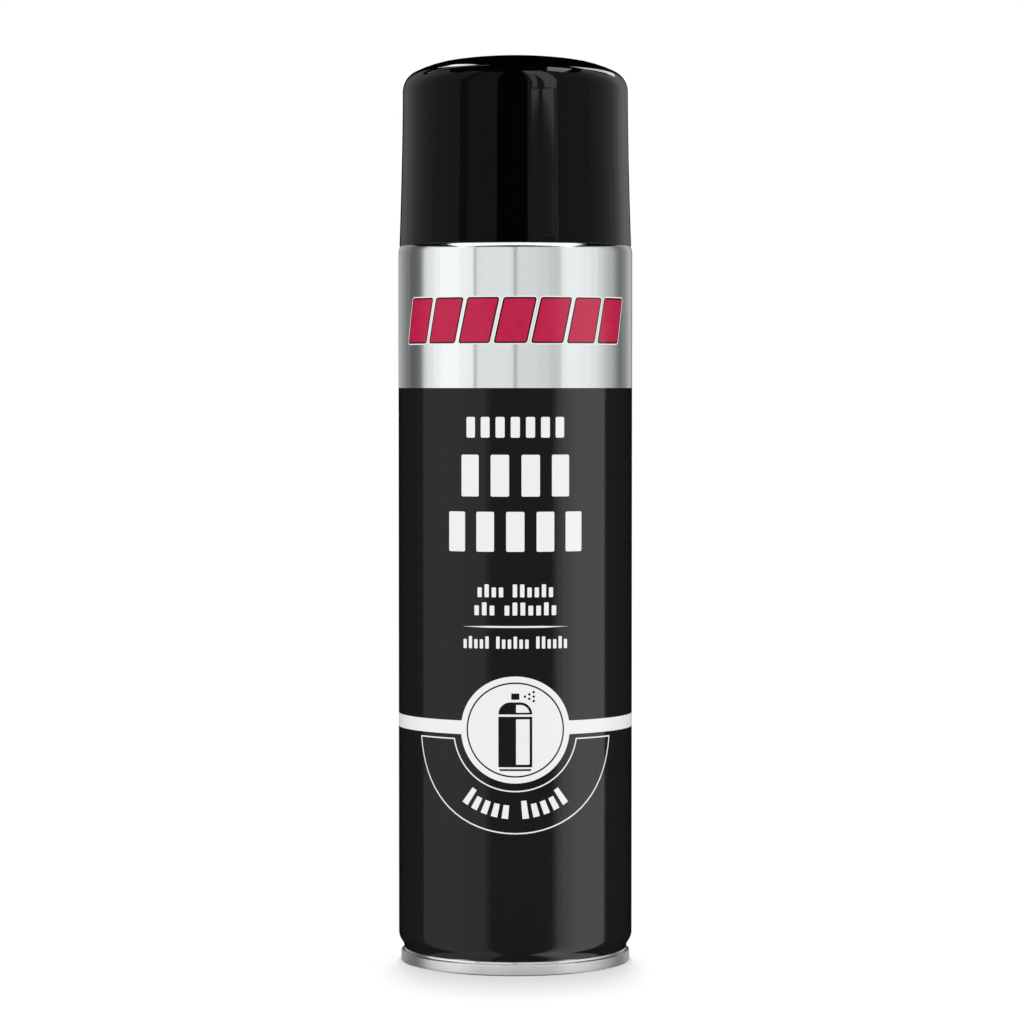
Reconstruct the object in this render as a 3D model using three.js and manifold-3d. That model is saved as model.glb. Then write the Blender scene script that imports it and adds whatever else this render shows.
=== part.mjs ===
// Aerosol spray can: a 65 mm three-piece tinplate can with double-seamed ends, a one-inch crimped
// valve on a dip tube, a push button with a spray insert, mixing balls and a full-width overcap.
// Millimetres, +Z up. The origin is the centre of the rim that the can stands on, and the button
// sprays towards -Y.
import * as THREE from "three";
import { mergeVertices } from "three/addons/utils/BufferGeometryUtils.js";
import Module from "manifold-3d";

const wasm = await Module();
wasm.setup();

// ---- Driving dimensions ----

// Facets round the can, the valve, the spray insert, the narrow bores and the finest holes.
const CAN_SIDES = 24;
const VALVE_SIDES = 24;
const INSERT_SIDES = 16;
const BORE_SIDES = 12;
const HOLE_SIDES = 8;

// Facets along a fold or bend, a neck, a rounded corner and a dome.
const BEND_STEPS = 2;
const NECK_STEPS = 3;
const CORNER_STEPS = 3;
const DOME_STEPS = 4;

// How far a cutting shape reaches past the shape that it cuts.
const BEYOND = 1;

// The curl, the cup's gasket and the cup's rim nest, so their facets turn at the same angles.
const NEST_ANGLE = 45;

// Tinplate: body, ends and mounting cup.
const BODY_RADIUS = 32.5;
const BODY_SHEET = 0.2;
const END_SHEET = 0.24;
const CUP_SHEET = 0.34;

// Double seams. Depths are from the seam's outer face towards the middle of the can.
const BASE_SEAM_RADIUS = 31.8;
const TOP_SEAM_RADIUS = 30.7;
const TOP_SEAM_Z = 206;
const SEAM_GAP = 0.06;
const SEAM_CORNER = 0.4;
const SEAM_FOLD_DEPTH = 2.72;
const COVER_HOOK_DEPTH = 1.25;
const BODY_FOLD_DEPTH = 0.78;
const BODY_HOOK_DEPTH = 2.15;
const LAYER_PITCH = (END_SHEET + BODY_SHEET) / 2 + SEAM_GAP;

// Necks of the body, where it draws in to each seam.
const BASE_NECK_FROM = 3.5;
const BASE_NECK_TO = 8.2;
const TOP_NECK_FROM = TOP_SEAM_Z - 9.4;
const TOP_NECK_TO = TOP_SEAM_Z - 3.4;

// Lining compound, clear of the body hook's edge.
const COMPOUND_GAP = 0.1;

// Concave base.
const BASE_PANEL_Z = 3.9;
const BASE_PANEL_BEND = 1.0;
const BASE_DOME_RADIUS = 60;

// Cone and its curl, which takes the one-inch (25.4 mm) valve.
const COUNTERSINK_DEPTH = 3.2;
const COUNTERSINK_BEND = 0.7;
const CONE_SLOPE = 60;
const CONE_FILLET = 1.5;
const CURL_Z = TOP_SEAM_Z + 12.9;
const CURL_BEND = 1.4;
const CURL_INNER = 25.4 / 2 + 0.14;
const CURL_CENTRE = CURL_INNER + CURL_BEND;

// Mounting cup. Heights are from the curl's centre.
const CUP_GASKET_SHEET = 0.3;
const CUP_GASKET_BEND = CURL_BEND + 0.32;
const CUP_GASKET_END_Z = -2.1;
const CUP_RIM_BEND = CURL_BEND + 0.7;
const CUP_RIM_END_Z = -1.2;
const CUP_WALL = CURL_CENTRE - CUP_RIM_BEND;
const CUP_CRIMP = 13.1;
const CUP_CRIMP_FROM_Z = -2.8;
const CUP_CRIMP_TO_Z = -6.6;
const CUP_PANEL_Z = -8.1;
const CUP_PANEL_BEND = 1.2;
const CUP_CORNER = 1.1;
const CRIMP_LAND = 0.2;
const PEDESTAL_WALL = 5.75;
const PEDESTAL_TOP_Z = 0.5;
const PEDESTAL_CORNER = 0.9;
const PEDESTAL_CRIMP = 5.15;
const PEDESTAL_CRIMP_FROM_Z = -5.4;
const PEDESTAL_CRIMP_TO_Z = -3.6;
const PEDESTAL_HOLE = 2.35;

// Valve. Heights are from the curl's centre.
const STEM_RADIUS = 2.0;
const STEM_TOP_Z = 9.9;
const STEM_SHOULDER = 2.9;
const STEM_SHOULDER_Z = -1.1;
const STEM_BOSS = 1.35;
const STEM_BOSS_Z = -3.5;
const STEM_END_Z = -5.5;
const STEM_LEAD = 0.3;
const STEM_BORE = 1.05;
const STEM_BORE_Z = -0.8;
const STEM_ORIFICE = 0.35;
const STEM_ORIFICE_Z = -0.4;
const STEM_GASKET_Z = -0.95;
const STEM_GASKET_SHEET = 1.15;
const STEM_GASKET_INNER = STEM_RADIUS + 0.08;
const STEM_GASKET_OUTER = 4.9;
const HOUSING_TOP_Z = -1.0;
const HOUSING_COLLAR = 5.1;
const HOUSING_COLLAR_Z = -3.4;
const HOUSING_RADIUS = 4.35;
const HOUSING_CHAMBER = 3.25;
const HOUSING_FLOOR_Z = -12.4;
const HOUSING_TAPER_Z = -12.8;
const HOUSING_TAIL = 2.3;
const HOUSING_TAIL_Z = -14.2;
const NIPPLE_RADIUS = 1.5;
const NIPPLE_BARB = 1.66;
const NIPPLE_BARB_Z = -19.8;
const NIPPLE_TIP = 1.2;
const NIPPLE_BORE = 1.0;
const NIPPLE_END_Z = -21.4;

// Valve spring. Its end turns close up by this share of an even pitch.
const SPRING_RADIUS = 2.15;
const SPRING_WIRE = 0.28;
const SPRING_TURNS = 5;
const SPRING_TURN_STEPS = 12;
const SPRING_WIRE_SIDES = 10;
const SPRING_CLOSING = 0.55;
const SPRING_SEAT = SPRING_WIRE + 0.07;
const SPRING_FROM_Z = HOUSING_FLOOR_Z + SPRING_SEAT;
const SPRING_TO_Z = STEM_BOSS_Z - SPRING_SEAT;

// Dip tube: straight under the valve, then bowed out to the lowest corner of the can.
const TUBE_OUTER = 2.3;
const TUBE_INNER = 1.75;
const TUBE_SIDES = 16;
const TUBE_STEPS = 16;
const TUBE_TOP_Z = CURL_Z + HOUSING_TAIL_Z - 0.3;
const TUBE_STRAIGHT = 13;
const TUBE_END_Z = 11;
const TUBE_REACH = 24;

// Spray button. Heights are from the bottom of its skirt.
const BUTTON_Z = CURL_Z + 2.2;
const BUTTON_RADIUS = 8.0;
const BUTTON_WAIST_RADIUS = 7.75;
const BUTTON_TOP_RADIUS = 7.4;
const BUTTON_BAND = 2;
const BUTTON_BAND_STEP = 0.4;
const BUTTON_HEIGHT = 16.4;
const BUTTON_CORNER = 1.2;
const BUTTON_WALL = 1.1;
const BUTTON_CAVITY = 6.4;
const SOCKET_RADIUS = 3.4;
const SOCKET_BORE = STEM_RADIUS + 0.05;
const SOCKET_FROM = 0.4;
const SOCKET_TO = CURL_Z + STEM_TOP_Z - BUTTON_Z + 0.1;
const WEB_FROM = 2;
const WEB_THICK = 0.8;
const WEB_PAIRS = 2;
const DISH_RADIUS = 12;
const DISH_DEPTH = 1.8;
const DISH_SHIFT = 2.2;
const DISH_SIDES = 32;
const DISH_RINGS = 24;
const CHANNEL_HEIGHT = 8.8;
const CHANNEL_RISE_RADIUS = 0.8;
const CHANNEL_REACH_RADIUS = 0.55;
const INSERT_HEIGHT = 10.4;
const INSERT_POCKET = 2.35;
const INSERT_RECESS = 3.3;
const POCKET_BACK = 4.2;
const RECESS_BACK = 6.6;
const POST_RADIUS = 0.95;
const POST_FRONT = 6.2;

// Spray insert, a small cup pressed into the button's pocket.
const INSERT_RADIUS = 2.25;
const INSERT_BACK = 4.4;
const INSERT_FLOOR = 6.35;
const INSERT_THROAT = 6.65;
const INSERT_FRONT = 7.0;
const INSERT_LEAD = 0.3;
const INSERT_HOLLOW = 1.5;
const INSERT_ORIFICE = 0.25;
const INSERT_CONE = 1.0;

// Overcap.
const CAP_EDGE_Z = TOP_SEAM_Z - 7.3;
const CAP_TOP_Z = CAP_EDGE_Z + 52.5;
const CAP_EDGE_RADIUS = 32.15;
const CAP_WAIST_Z = CAP_EDGE_Z + 21.5;
const CAP_WAIST_RADIUS = 31.5;
const CAP_SHOULDER_RADIUS = 31.2;
const CAP_WALL = 1.1;
const CAP_CROWN = 120;
const CAP_CROWN_REACH = 18;
const CAP_HAUNCH = 34;
const CAP_CORNER = 6;
const CAP_LAND = 0.15;
const CAP_BEVEL_Z = CAP_EDGE_Z + 1.2;
const CAP_BEAD_Z = CAP_EDGE_Z + 3.4;
const CAP_BEAD_HALF = 0.6;
const CAP_BEAD_RADIUS = TOP_SEAM_RADIUS + 0.12;
const CAP_RIBS = 8;
const CAP_RIB_THICK = 1.0;
const CAP_RIB_INNER = 29.0;
const CAP_RIB_OUTER = 31.05;
const CAP_RIB_FROM_Z = TOP_SEAM_Z + 0.3;
const CAP_RIB_TO_Z = CAP_EDGE_Z + 38.7;

// Mixing balls, resting where the base dome meets the wall.
const BALL_RADIUS = 3.5;
const BALL_COUNT = 2;
const BALL_ORBIT = 28.4;
const BALL_Z = 9.95;
const BALL_FROM = 157.5;
const BALL_STEP = 22.5;
const BALL_SIDES = 16;
const BALL_RINGS = 10;

// ---- Shared shapes ----

// A point of an outline: radius and height.
const rz = (r, z) => new THREE.Vector2(r, z);

// An outline's points nearer the axis than this are on it.
const ON_AXIS = 1e-6;

// An outline turned upside down, so that its zero lies at a height.
const mirrored = (points, z) => points.map((p) => rz(p.x, z - p.y));

// Points along an arc about (r, z) between two angles in degrees, both ends included.
function arc(r, z, radius, from, to, steps) {
  return Array.from({ length: steps + 1 }, (_, i) => {
    const a = THREE.MathUtils.degToRad(from + ((to - from) * i) / steps);
    return rz(r + radius * Math.cos(a), z + radius * Math.sin(a));
  });
}

// Two equal arcs that carry a sheet from one upright stretch to another.
function sBend(start, end, steps) {
  const dr = end.x - start.x;
  const dz = end.y - start.y;
  const radius = (dr * dr + dz * dz) / (4 * Math.abs(dr));
  const turn = Math.asin(Math.abs(dz) / (2 * radius));
  const first = [];
  const second = [];
  for (let i = 0; i <= steps; i++) {
    const a = (turn * i) / steps;
    const r = Math.sign(dr) * radius * (1 - Math.cos(a));
    const z = Math.sign(dz) * radius * Math.sin(a);
    first.push(rz(start.x + r, start.y + z));
    second.unshift(rz(end.x - r, end.y - z));
  }
  return [...first, ...second.slice(1)];
}

// A bead in an upright sheet: an S bend out to a crest, a short land, and an S bend back.
function bead(wall, crest, from, to) {
  const middle = (from + to) / 2;
  const land = (Math.sign(to - from) * CRIMP_LAND) / 2;
  return [
    ...sBend(rz(wall, from), rz(crest, middle - land), 1),
    ...sBend(rz(crest, middle + land), rz(wall, to), 1),
  ];
}

// The closed outline of a sheet of the given thickness about its centre line.
function thicken(line, thickness) {
  const across = (a, b) => rz(a.y - b.y, b.x - a.x).normalize();
  const offset = (side) =>
    line.map((p, i) => {
      const before = i > 0 ? across(line[i - 1], p) : null;
      const after = i < line.length - 1 ? across(p, line[i + 1]) : null;
      const first = before ?? after;
      const mean = first.clone().add(after ?? before).normalize();
      return p.clone().addScaledVector(mean, (side * thickness) / 2 / mean.dot(first));
    });
  return [...offset(1), ...offset(-1).reverse()];
}

// A closed body of revolution about the Z axis. An outline that doesn't end on the axis is closed.
function turned(outline, sides) {
  const onAxis = outline[0].x === 0 && outline.at(-1).x === 0;
  const loop = THREE.ShapeUtils.isClockWise(outline) ? [...outline].reverse() : [...outline];
  if (!onAxis) loop.push(loop[0].clone());
  return new THREE.LatheGeometry(loop, sides).rotateX(Math.PI / 2);
}

const turnedSheet = (line, thickness, sides) => turned(thicken(line, thickness), sides);

// A washer or sleeve between two radii and two heights.
function washer(inner, outer, from, to, sides) {
  return turned([rz(inner, from), rz(outer, from), rz(outer, to), rz(inner, to)], sides);
}

// A cylinder along Z from one height to another.
function rod(radius, from, to, sides = BORE_SIDES) {
  return new THREE.CylinderGeometry(radius, radius, to - from, sides)
    .rotateX(Math.PI / 2)
    .translate(0, 0, (from + to) / 2);
}

// A cylinder that points forward, along -Y, between two distances from the axis.
function forwardRod(radius, from, to, z, sides = BORE_SIDES) {
  return new THREE.CylinderGeometry(radius, radius, to - from, sides).translate(0, -(from + to) / 2, z);
}

// A three.js geometry as a manifold-3d solid, and back.
function solid(geometry) {
  const bare = geometry.index ? geometry.toNonIndexed() : geometry.clone();
  bare.deleteAttribute("normal");
  bare.deleteAttribute("uv");
  const merged = mergeVertices(bare, 1e-4);
  const vertProperties = merged.attributes.position.array;
  const triVerts = new Uint32Array(merged.index.array);
  return new wasm.Manifold(new wasm.Mesh({ numProp: 3, vertProperties, triVerts }));
}

function geometryOf(made) {
  const { vertProperties, triVerts } = made.getMesh();
  return new THREE.BufferGeometry()
    .setAttribute("position", new THREE.BufferAttribute(vertProperties, 3))
    .setIndex(new THREE.BufferAttribute(triVerts, 1));
}

// ---- Can ----

// The radius of a double seam's layer: 0 is the seaming wall, then the body hook, the cover hook,
// the body wall and, innermost, the chuck wall.
const seamLayer = (outer, layer) => outer - END_SHEET / 2 - layer * LAYER_PITCH;

// The centre line of the body's hook in a seam, from its free edge to the body wall.
function bodyHook(outer) {
  const hook = seamLayer(outer, 1);
  const fold = arc(hook - LAYER_PITCH, BODY_FOLD_DEPTH, LAYER_PITCH, 0, -180, BEND_STEPS);
  return [rz(hook, BODY_HOOK_DEPTH), ...fold];
}

// The centre line of an end's seam, from its tucked-in edge, over the fold and the rim, to the
// start of the chuck wall.
function endSeam(outer) {
  const wall = seamLayer(outer, 0);
  const chuck = seamLayer(outer, 4);
  const rim = END_SHEET / 2 + SEAM_CORNER;
  return [
    rz(seamLayer(outer, 2), COVER_HOOK_DEPTH),
    ...arc(wall - LAYER_PITCH, SEAM_FOLD_DEPTH, LAYER_PITCH, 180, 0, BEND_STEPS),
    ...arc(wall - SEAM_CORNER, rim, SEAM_CORNER, 0, -90, BEND_STEPS),
    ...arc(chuck + SEAM_CORNER, rim, SEAM_CORNER, -90, -180, BEND_STEPS),
  ];
}

function canBody() {
  const wall = BODY_RADIUS - BODY_SHEET / 2;
  const baseWall = seamLayer(BASE_SEAM_RADIUS, 3);
  const topWall = seamLayer(TOP_SEAM_RADIUS, 3);
  const line = [
    ...bodyHook(BASE_SEAM_RADIUS),
    ...sBend(rz(baseWall, BASE_NECK_FROM), rz(wall, BASE_NECK_TO), BEND_STEPS),
    ...sBend(rz(wall, TOP_NECK_FROM), rz(topWall, TOP_NECK_TO), NECK_STEPS),
    ...mirrored(bodyHook(TOP_SEAM_RADIUS), TOP_SEAM_Z).reverse(),
  ];
  return turnedSheet(line, BODY_SHEET, CAN_SIDES);
}

// The base is one sheet from the seam over the dome to the axis, so both of its faces end there.
function baseDome() {
  const chuck = seamLayer(BASE_SEAM_RADIUS, 4);
  const bendCentre = chuck - BASE_PANEL_BEND;
  const slope = Math.asin(bendCentre / (BASE_DOME_RADIUS - BASE_PANEL_BEND));
  const slopeDegrees = THREE.MathUtils.radToDeg(slope);
  const domeZ = BASE_PANEL_Z - (BASE_DOME_RADIUS - BASE_PANEL_BEND) * Math.cos(slope);
  const line = [
    ...endSeam(BASE_SEAM_RADIUS),
    ...arc(bendCentre, BASE_PANEL_Z, BASE_PANEL_BEND, 0, 90 - slopeDegrees, BEND_STEPS),
    ...arc(0, domeZ, BASE_DOME_RADIUS, 90 - slopeDegrees, 90, DOME_STEPS).slice(1),
  ];
  const outline = thicken(line, END_SHEET);
  for (const p of outline) if (Math.abs(p.x) < END_SHEET) p.x = 0;
  const tip = outline.findIndex((p) => p.x === 0);
  return turned([...outline.slice(tip + 1), ...outline.slice(0, tip + 1)], CAN_SIDES);
}

function topCone() {
  const chuck = seamLayer(TOP_SEAM_RADIUS, 4);
  const sink = { r: chuck - COUNTERSINK_BEND, z: TOP_SEAM_Z - COUNTERSINK_DEPTH };
  const footBend = arc(sink.r, sink.z, COUNTERSINK_BEND, 0, -90 - CONE_SLOPE, NECK_STEPS);
  const foot = footBend.at(-1);
  const slope = THREE.MathUtils.degToRad(CONE_SLOPE);
  const domeRadius = foot.x / Math.sin(slope);
  const domeZ = foot.y - domeRadius * Math.cos(slope);
  const top = Math.asin((CURL_INNER + CONE_FILLET) / (domeRadius + CONE_FILLET));
  const topDegrees = THREE.MathUtils.radToDeg(top);
  const filletZ = domeZ + (domeRadius + CONE_FILLET) * Math.cos(top);
  const line = [
    ...mirrored(endSeam(TOP_SEAM_RADIUS), TOP_SEAM_Z),
    ...footBend,
    ...arc(0, domeZ, domeRadius, 90 - CONE_SLOPE, 90 - topDegrees, DOME_STEPS).slice(1, -1),
    ...arc(CURL_INNER + CONE_FILLET, filletZ, CONE_FILLET, 270 - topDegrees, 180, BEND_STEPS),
    ...arc(CURL_CENTRE, CURL_Z, CURL_BEND, 180, -90, 270 / NEST_ANGLE),
  ];
  return turnedSheet(line, END_SHEET, CAN_SIDES);
}

// The lining compound that fills the void above each body hook.
function seamCompound(outer) {
  const hook = seamLayer(outer, 1);
  const half = BODY_SHEET / 2;
  const foot = BODY_HOOK_DEPTH + COMPOUND_GAP;
  return washer(hook - half, hook + half, foot, SEAM_FOLD_DEPTH, CAN_SIDES);
}

// ---- Valve, about the curl's centre height ----

function mountingCup() {
  const corner = { r: CUP_WALL - CUP_CORNER, z: CUP_PANEL_Z + CUP_CORNER };
  const panel = { r: PEDESTAL_WALL + CUP_PANEL_BEND, z: CUP_PANEL_Z + CUP_PANEL_BEND };
  const top = { r: PEDESTAL_WALL - PEDESTAL_CORNER, z: PEDESTAL_TOP_Z - PEDESTAL_CORNER };
  const line = [
    rz(CURL_CENTRE + CUP_RIM_BEND, CUP_RIM_END_Z),
    ...arc(CURL_CENTRE, 0, CUP_RIM_BEND, 0, 180, 180 / NEST_ANGLE),
    ...bead(CUP_WALL, CUP_CRIMP, CUP_CRIMP_FROM_Z, CUP_CRIMP_TO_Z),
    ...arc(corner.r, corner.z, CUP_CORNER, 0, -90, BEND_STEPS),
    ...arc(panel.r, panel.z, CUP_PANEL_BEND, -90, -180, BEND_STEPS),
    ...bead(PEDESTAL_WALL, PEDESTAL_CRIMP, PEDESTAL_CRIMP_FROM_Z, PEDESTAL_CRIMP_TO_Z),
    ...arc(top.r, top.z, PEDESTAL_CORNER, 0, 90, BEND_STEPS),
    rz(PEDESTAL_HOLE, PEDESTAL_TOP_Z),
  ];
  return turnedSheet(line, CUP_SHEET, CAN_SIDES);
}

function cupGasket() {
  const line = [
    ...arc(CURL_CENTRE, 0, CUP_GASKET_BEND, 45, 180, (180 - 45) / NEST_ANGLE),
    rz(CURL_CENTRE - CUP_GASKET_BEND, CUP_GASKET_END_Z),
  ];
  return turnedSheet(line, CUP_GASKET_SHEET, CAN_SIDES);
}

function stemGasket() {
  const top = STEM_GASKET_Z + STEM_GASKET_SHEET;
  return washer(STEM_GASKET_INNER, STEM_GASKET_OUTER, STEM_GASKET_Z, top, VALVE_SIDES);
}

// A male stem: a blind bore from the top, crossed by one metering orifice at the gasket's height.
function valveStem() {
  const outline = [
    rz(0, STEM_END_Z),
    rz(STEM_BOSS - STEM_LEAD, STEM_END_Z),
    rz(STEM_BOSS, STEM_END_Z + STEM_LEAD),
    rz(STEM_BOSS, STEM_BOSS_Z),
    rz(STEM_SHOULDER, STEM_BOSS_Z),
    rz(STEM_SHOULDER, STEM_SHOULDER_Z),
    rz(STEM_RADIUS, STEM_SHOULDER_Z),
    rz(STEM_RADIUS, STEM_TOP_Z - STEM_LEAD),
    rz(STEM_RADIUS - STEM_LEAD, STEM_TOP_Z),
    rz(STEM_BORE, STEM_TOP_Z),
    rz(STEM_BORE, STEM_BORE_Z),
    rz(0, STEM_BORE_Z),
  ];
  const orifice = rod(STEM_ORIFICE, 0, STEM_RADIUS + BEYOND, HOLE_SIDES)
    .rotateY(Math.PI / 2)
    .translate(0, 0, STEM_ORIFICE_Z);
  return geometryOf(solid(turned(outline, VALVE_SIDES)).subtract(solid(orifice)));
}

// The housing: a collar held by the pedestal, the spring chamber, and a barbed nipple for the tube.
function valveHousing() {
  const outline = [
    rz(HOUSING_CHAMBER, HOUSING_TOP_Z),
    rz(HOUSING_COLLAR, HOUSING_TOP_Z),
    rz(HOUSING_COLLAR, HOUSING_COLLAR_Z),
    rz(HOUSING_RADIUS, HOUSING_COLLAR_Z),
    rz(HOUSING_RADIUS, HOUSING_TAPER_Z),
    rz(HOUSING_TAIL, HOUSING_TAIL_Z),
    rz(NIPPLE_RADIUS, HOUSING_TAIL_Z),
    rz(NIPPLE_RADIUS, NIPPLE_BARB_Z),
    rz(NIPPLE_BARB, NIPPLE_BARB_Z),
    rz(NIPPLE_TIP, NIPPLE_END_Z),
    rz(NIPPLE_BORE, NIPPLE_END_Z),
    rz(NIPPLE_BORE, HOUSING_FLOOR_Z),
    rz(HOUSING_CHAMBER, HOUSING_FLOOR_Z),
  ];
  return turned(outline, VALVE_SIDES);
}

// A helix whose first and last turns close up, as a compression spring's do.
class SpringCurve extends THREE.Curve {
  getPoint(t, target = new THREE.Vector3()) {
    const eased = t - (SPRING_CLOSING * Math.sin(2 * Math.PI * t)) / (2 * Math.PI);
    const angle = 2 * Math.PI * SPRING_TURNS * t;
    const z = THREE.MathUtils.lerp(SPRING_FROM_Z, SPRING_TO_Z, eased);
    return target.set(SPRING_RADIUS * Math.cos(angle), SPRING_RADIUS * Math.sin(angle), z);
  }
}

// A round section has two sides for each curve segment.
function valveSpring() {
  const wire = new THREE.Shape().absarc(0, 0, SPRING_WIRE, 0, 2 * Math.PI);
  return new THREE.ExtrudeGeometry(wire, {
    extrudePath: new SpringCurve(),
    steps: SPRING_TURNS * SPRING_TURN_STEPS,
    curveSegments: SPRING_WIRE_SIDES / 2,
  });
}

// Upright for a short way, then a parabola out to the wall.
class TubeCurve extends THREE.Curve {
  getPoint(t, target = new THREE.Vector3()) {
    const length = TUBE_TOP_Z - TUBE_END_Z;
    const bowed = Math.max(0, (t * length - TUBE_STRAIGHT) / (length - TUBE_STRAIGHT));
    return target.set(TUBE_REACH * bowed * bowed, 0, TUBE_TOP_Z - t * length);
  }
}

function dipTube() {
  const wall = new THREE.Shape().absarc(0, 0, TUBE_OUTER, 0, 2 * Math.PI);
  wall.holes.push(new THREE.Path().absarc(0, 0, TUBE_INNER, 0, 2 * Math.PI, true));
  return new THREE.ExtrudeGeometry(wall, {
    extrudePath: new TubeCurve(),
    steps: TUBE_STEPS,
    curveSegments: TUBE_SIDES / 2,
  });
}

// ---- Spray button ----

// The button's outside: a band at the bottom, a tapered wall and a rounded brow.
function buttonShell() {
  const brow = { r: BUTTON_TOP_RADIUS - BUTTON_CORNER, z: BUTTON_HEIGHT - BUTTON_CORNER };
  return turned(
    [
      rz(0, 0),
      rz(BUTTON_RADIUS, 0),
      rz(BUTTON_RADIUS, BUTTON_BAND),
      rz(BUTTON_WAIST_RADIUS, BUTTON_BAND + BUTTON_BAND_STEP),
      ...arc(brow.r, brow.z, BUTTON_CORNER, 0, 90, CORNER_STEPS),
      rz(0, BUTTON_HEIGHT),
    ],
    VALVE_SIDES,
  );
}

// What stays inside the skirt: the socket for the stem, and webs from it to the wall.
function buttonCore() {
  const top = BUTTON_CAVITY + BEYOND;
  const webLength = 2 * BUTTON_RADIUS - BUTTON_WALL;
  let core = solid(rod(SOCKET_RADIUS, SOCKET_FROM, top, VALVE_SIDES));
  for (let i = 0; i < WEB_PAIRS; i++) {
    const web = new THREE.BoxGeometry(webLength, WEB_THICK, top - WEB_FROM);
    web.translate(0, 0, (WEB_FROM + top) / 2).rotateZ(((i + 0.5) * Math.PI) / WEB_PAIRS);
    core = core.add(solid(web));
  }
  return core;
}

// The moulded button: a shell round its core, with a finger dish on top, the stem's socket, the
// channel from it, and the insert's pocket with a centre post.
function actuatorButton() {
  const cavity = solid(rod(BUTTON_RADIUS - BUTTON_WALL, -BEYOND, BUTTON_CAVITY, VALVE_SIDES));
  const dish = new THREE.SphereGeometry(DISH_RADIUS, DISH_SIDES, DISH_RINGS);
  dish.translate(0, DISH_SHIFT, BUTTON_HEIGHT - DISH_DEPTH + DISH_RADIUS);
  const front = BUTTON_RADIUS + BEYOND;
  const cuts = [
    dish,
    rod(SOCKET_BORE, -BEYOND, SOCKET_TO, VALVE_SIDES),
    rod(CHANNEL_RISE_RADIUS, SOCKET_TO - BEYOND, CHANNEL_HEIGHT + CHANNEL_REACH_RADIUS),
    forwardRod(CHANNEL_REACH_RADIUS, 0, POCKET_BACK + POST_RADIUS, CHANNEL_HEIGHT, HOLE_SIDES),
    forwardRod(INSERT_RECESS, RECESS_BACK, front, INSERT_HEIGHT, VALVE_SIDES),
  ];
  let body = solid(buttonShell()).subtract(cavity.subtract(buttonCore()));
  for (const cut of cuts) body = body.subtract(solid(cut));
  const pocket = solid(forwardRod(INSERT_POCKET, POCKET_BACK, front, INSERT_HEIGHT, VALVE_SIDES));
  const post = solid(forwardRod(POST_RADIUS, POCKET_BACK - BEYOND, POST_FRONT, INSERT_HEIGHT));
  return geometryOf(body.subtract(pocket.subtract(post)));
}

// Turned about the Y axis, as its bore points forward.
function sprayInsert() {
  const outline = [
    rz(INSERT_HOLLOW, -INSERT_BACK),
    rz(INSERT_RADIUS - INSERT_LEAD, -INSERT_BACK),
    rz(INSERT_RADIUS, -INSERT_BACK - INSERT_LEAD),
    rz(INSERT_RADIUS, -INSERT_FRONT),
    rz(INSERT_CONE, -INSERT_FRONT),
    rz(INSERT_ORIFICE, -INSERT_THROAT),
    rz(INSERT_ORIFICE, -INSERT_FLOOR),
    rz(INSERT_HOLLOW, -INSERT_FLOOR),
  ];
  return turned(outline, INSERT_SIDES).rotateX(-Math.PI / 2);
}

// ---- Overcap ----

// The cap's outside, or its inside at a depth within the wall, from the shoulder to the axis: a
// corner, a haunch and a flat crown, each arc running smoothly into the next.
function capCrown(depth) {
  const crownZ = CAP_TOP_Z - CAP_CROWN;
  const reach = Math.asin(CAP_CROWN_REACH / CAP_CROWN);
  const haunch = {
    r: (CAP_CROWN - CAP_HAUNCH) * Math.sin(reach),
    z: crownZ + (CAP_CROWN - CAP_HAUNCH) * Math.cos(reach),
  };
  const cornerR = CAP_SHOULDER_RADIUS - CAP_CORNER;
  const lean = Math.asin((cornerR - haunch.r) / (CAP_HAUNCH - CAP_CORNER));
  const cornerZ = haunch.z + (CAP_HAUNCH - CAP_CORNER) * Math.cos(lean);
  const leanDegrees = 90 - THREE.MathUtils.radToDeg(lean);
  const reachDegrees = 90 - THREE.MathUtils.radToDeg(reach);
  return [
    ...arc(cornerR, cornerZ, CAP_CORNER - depth, 0, leanDegrees, CORNER_STEPS),
    ...arc(haunch.r, haunch.z, CAP_HAUNCH - depth, leanDegrees, reachDegrees, BEND_STEPS).slice(1),
    ...arc(0, crownZ, CAP_CROWN - depth, reachDegrees, 90, BEND_STEPS).slice(1),
  ];
}

// One of the ribs inside the wall, which steady the cap on the top seam's rim.
function capRib(turn) {
  const depth = CAP_RIB_OUTER - CAP_RIB_INNER;
  const rib = new THREE.BoxGeometry(depth, CAP_RIB_THICK, CAP_RIB_TO_Z - CAP_RIB_FROM_Z);
  rib.translate(CAP_RIB_INNER + depth / 2, 0, (CAP_RIB_FROM_Z + CAP_RIB_TO_Z) / 2);
  return rib.rotateZ(turn);
}

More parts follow.
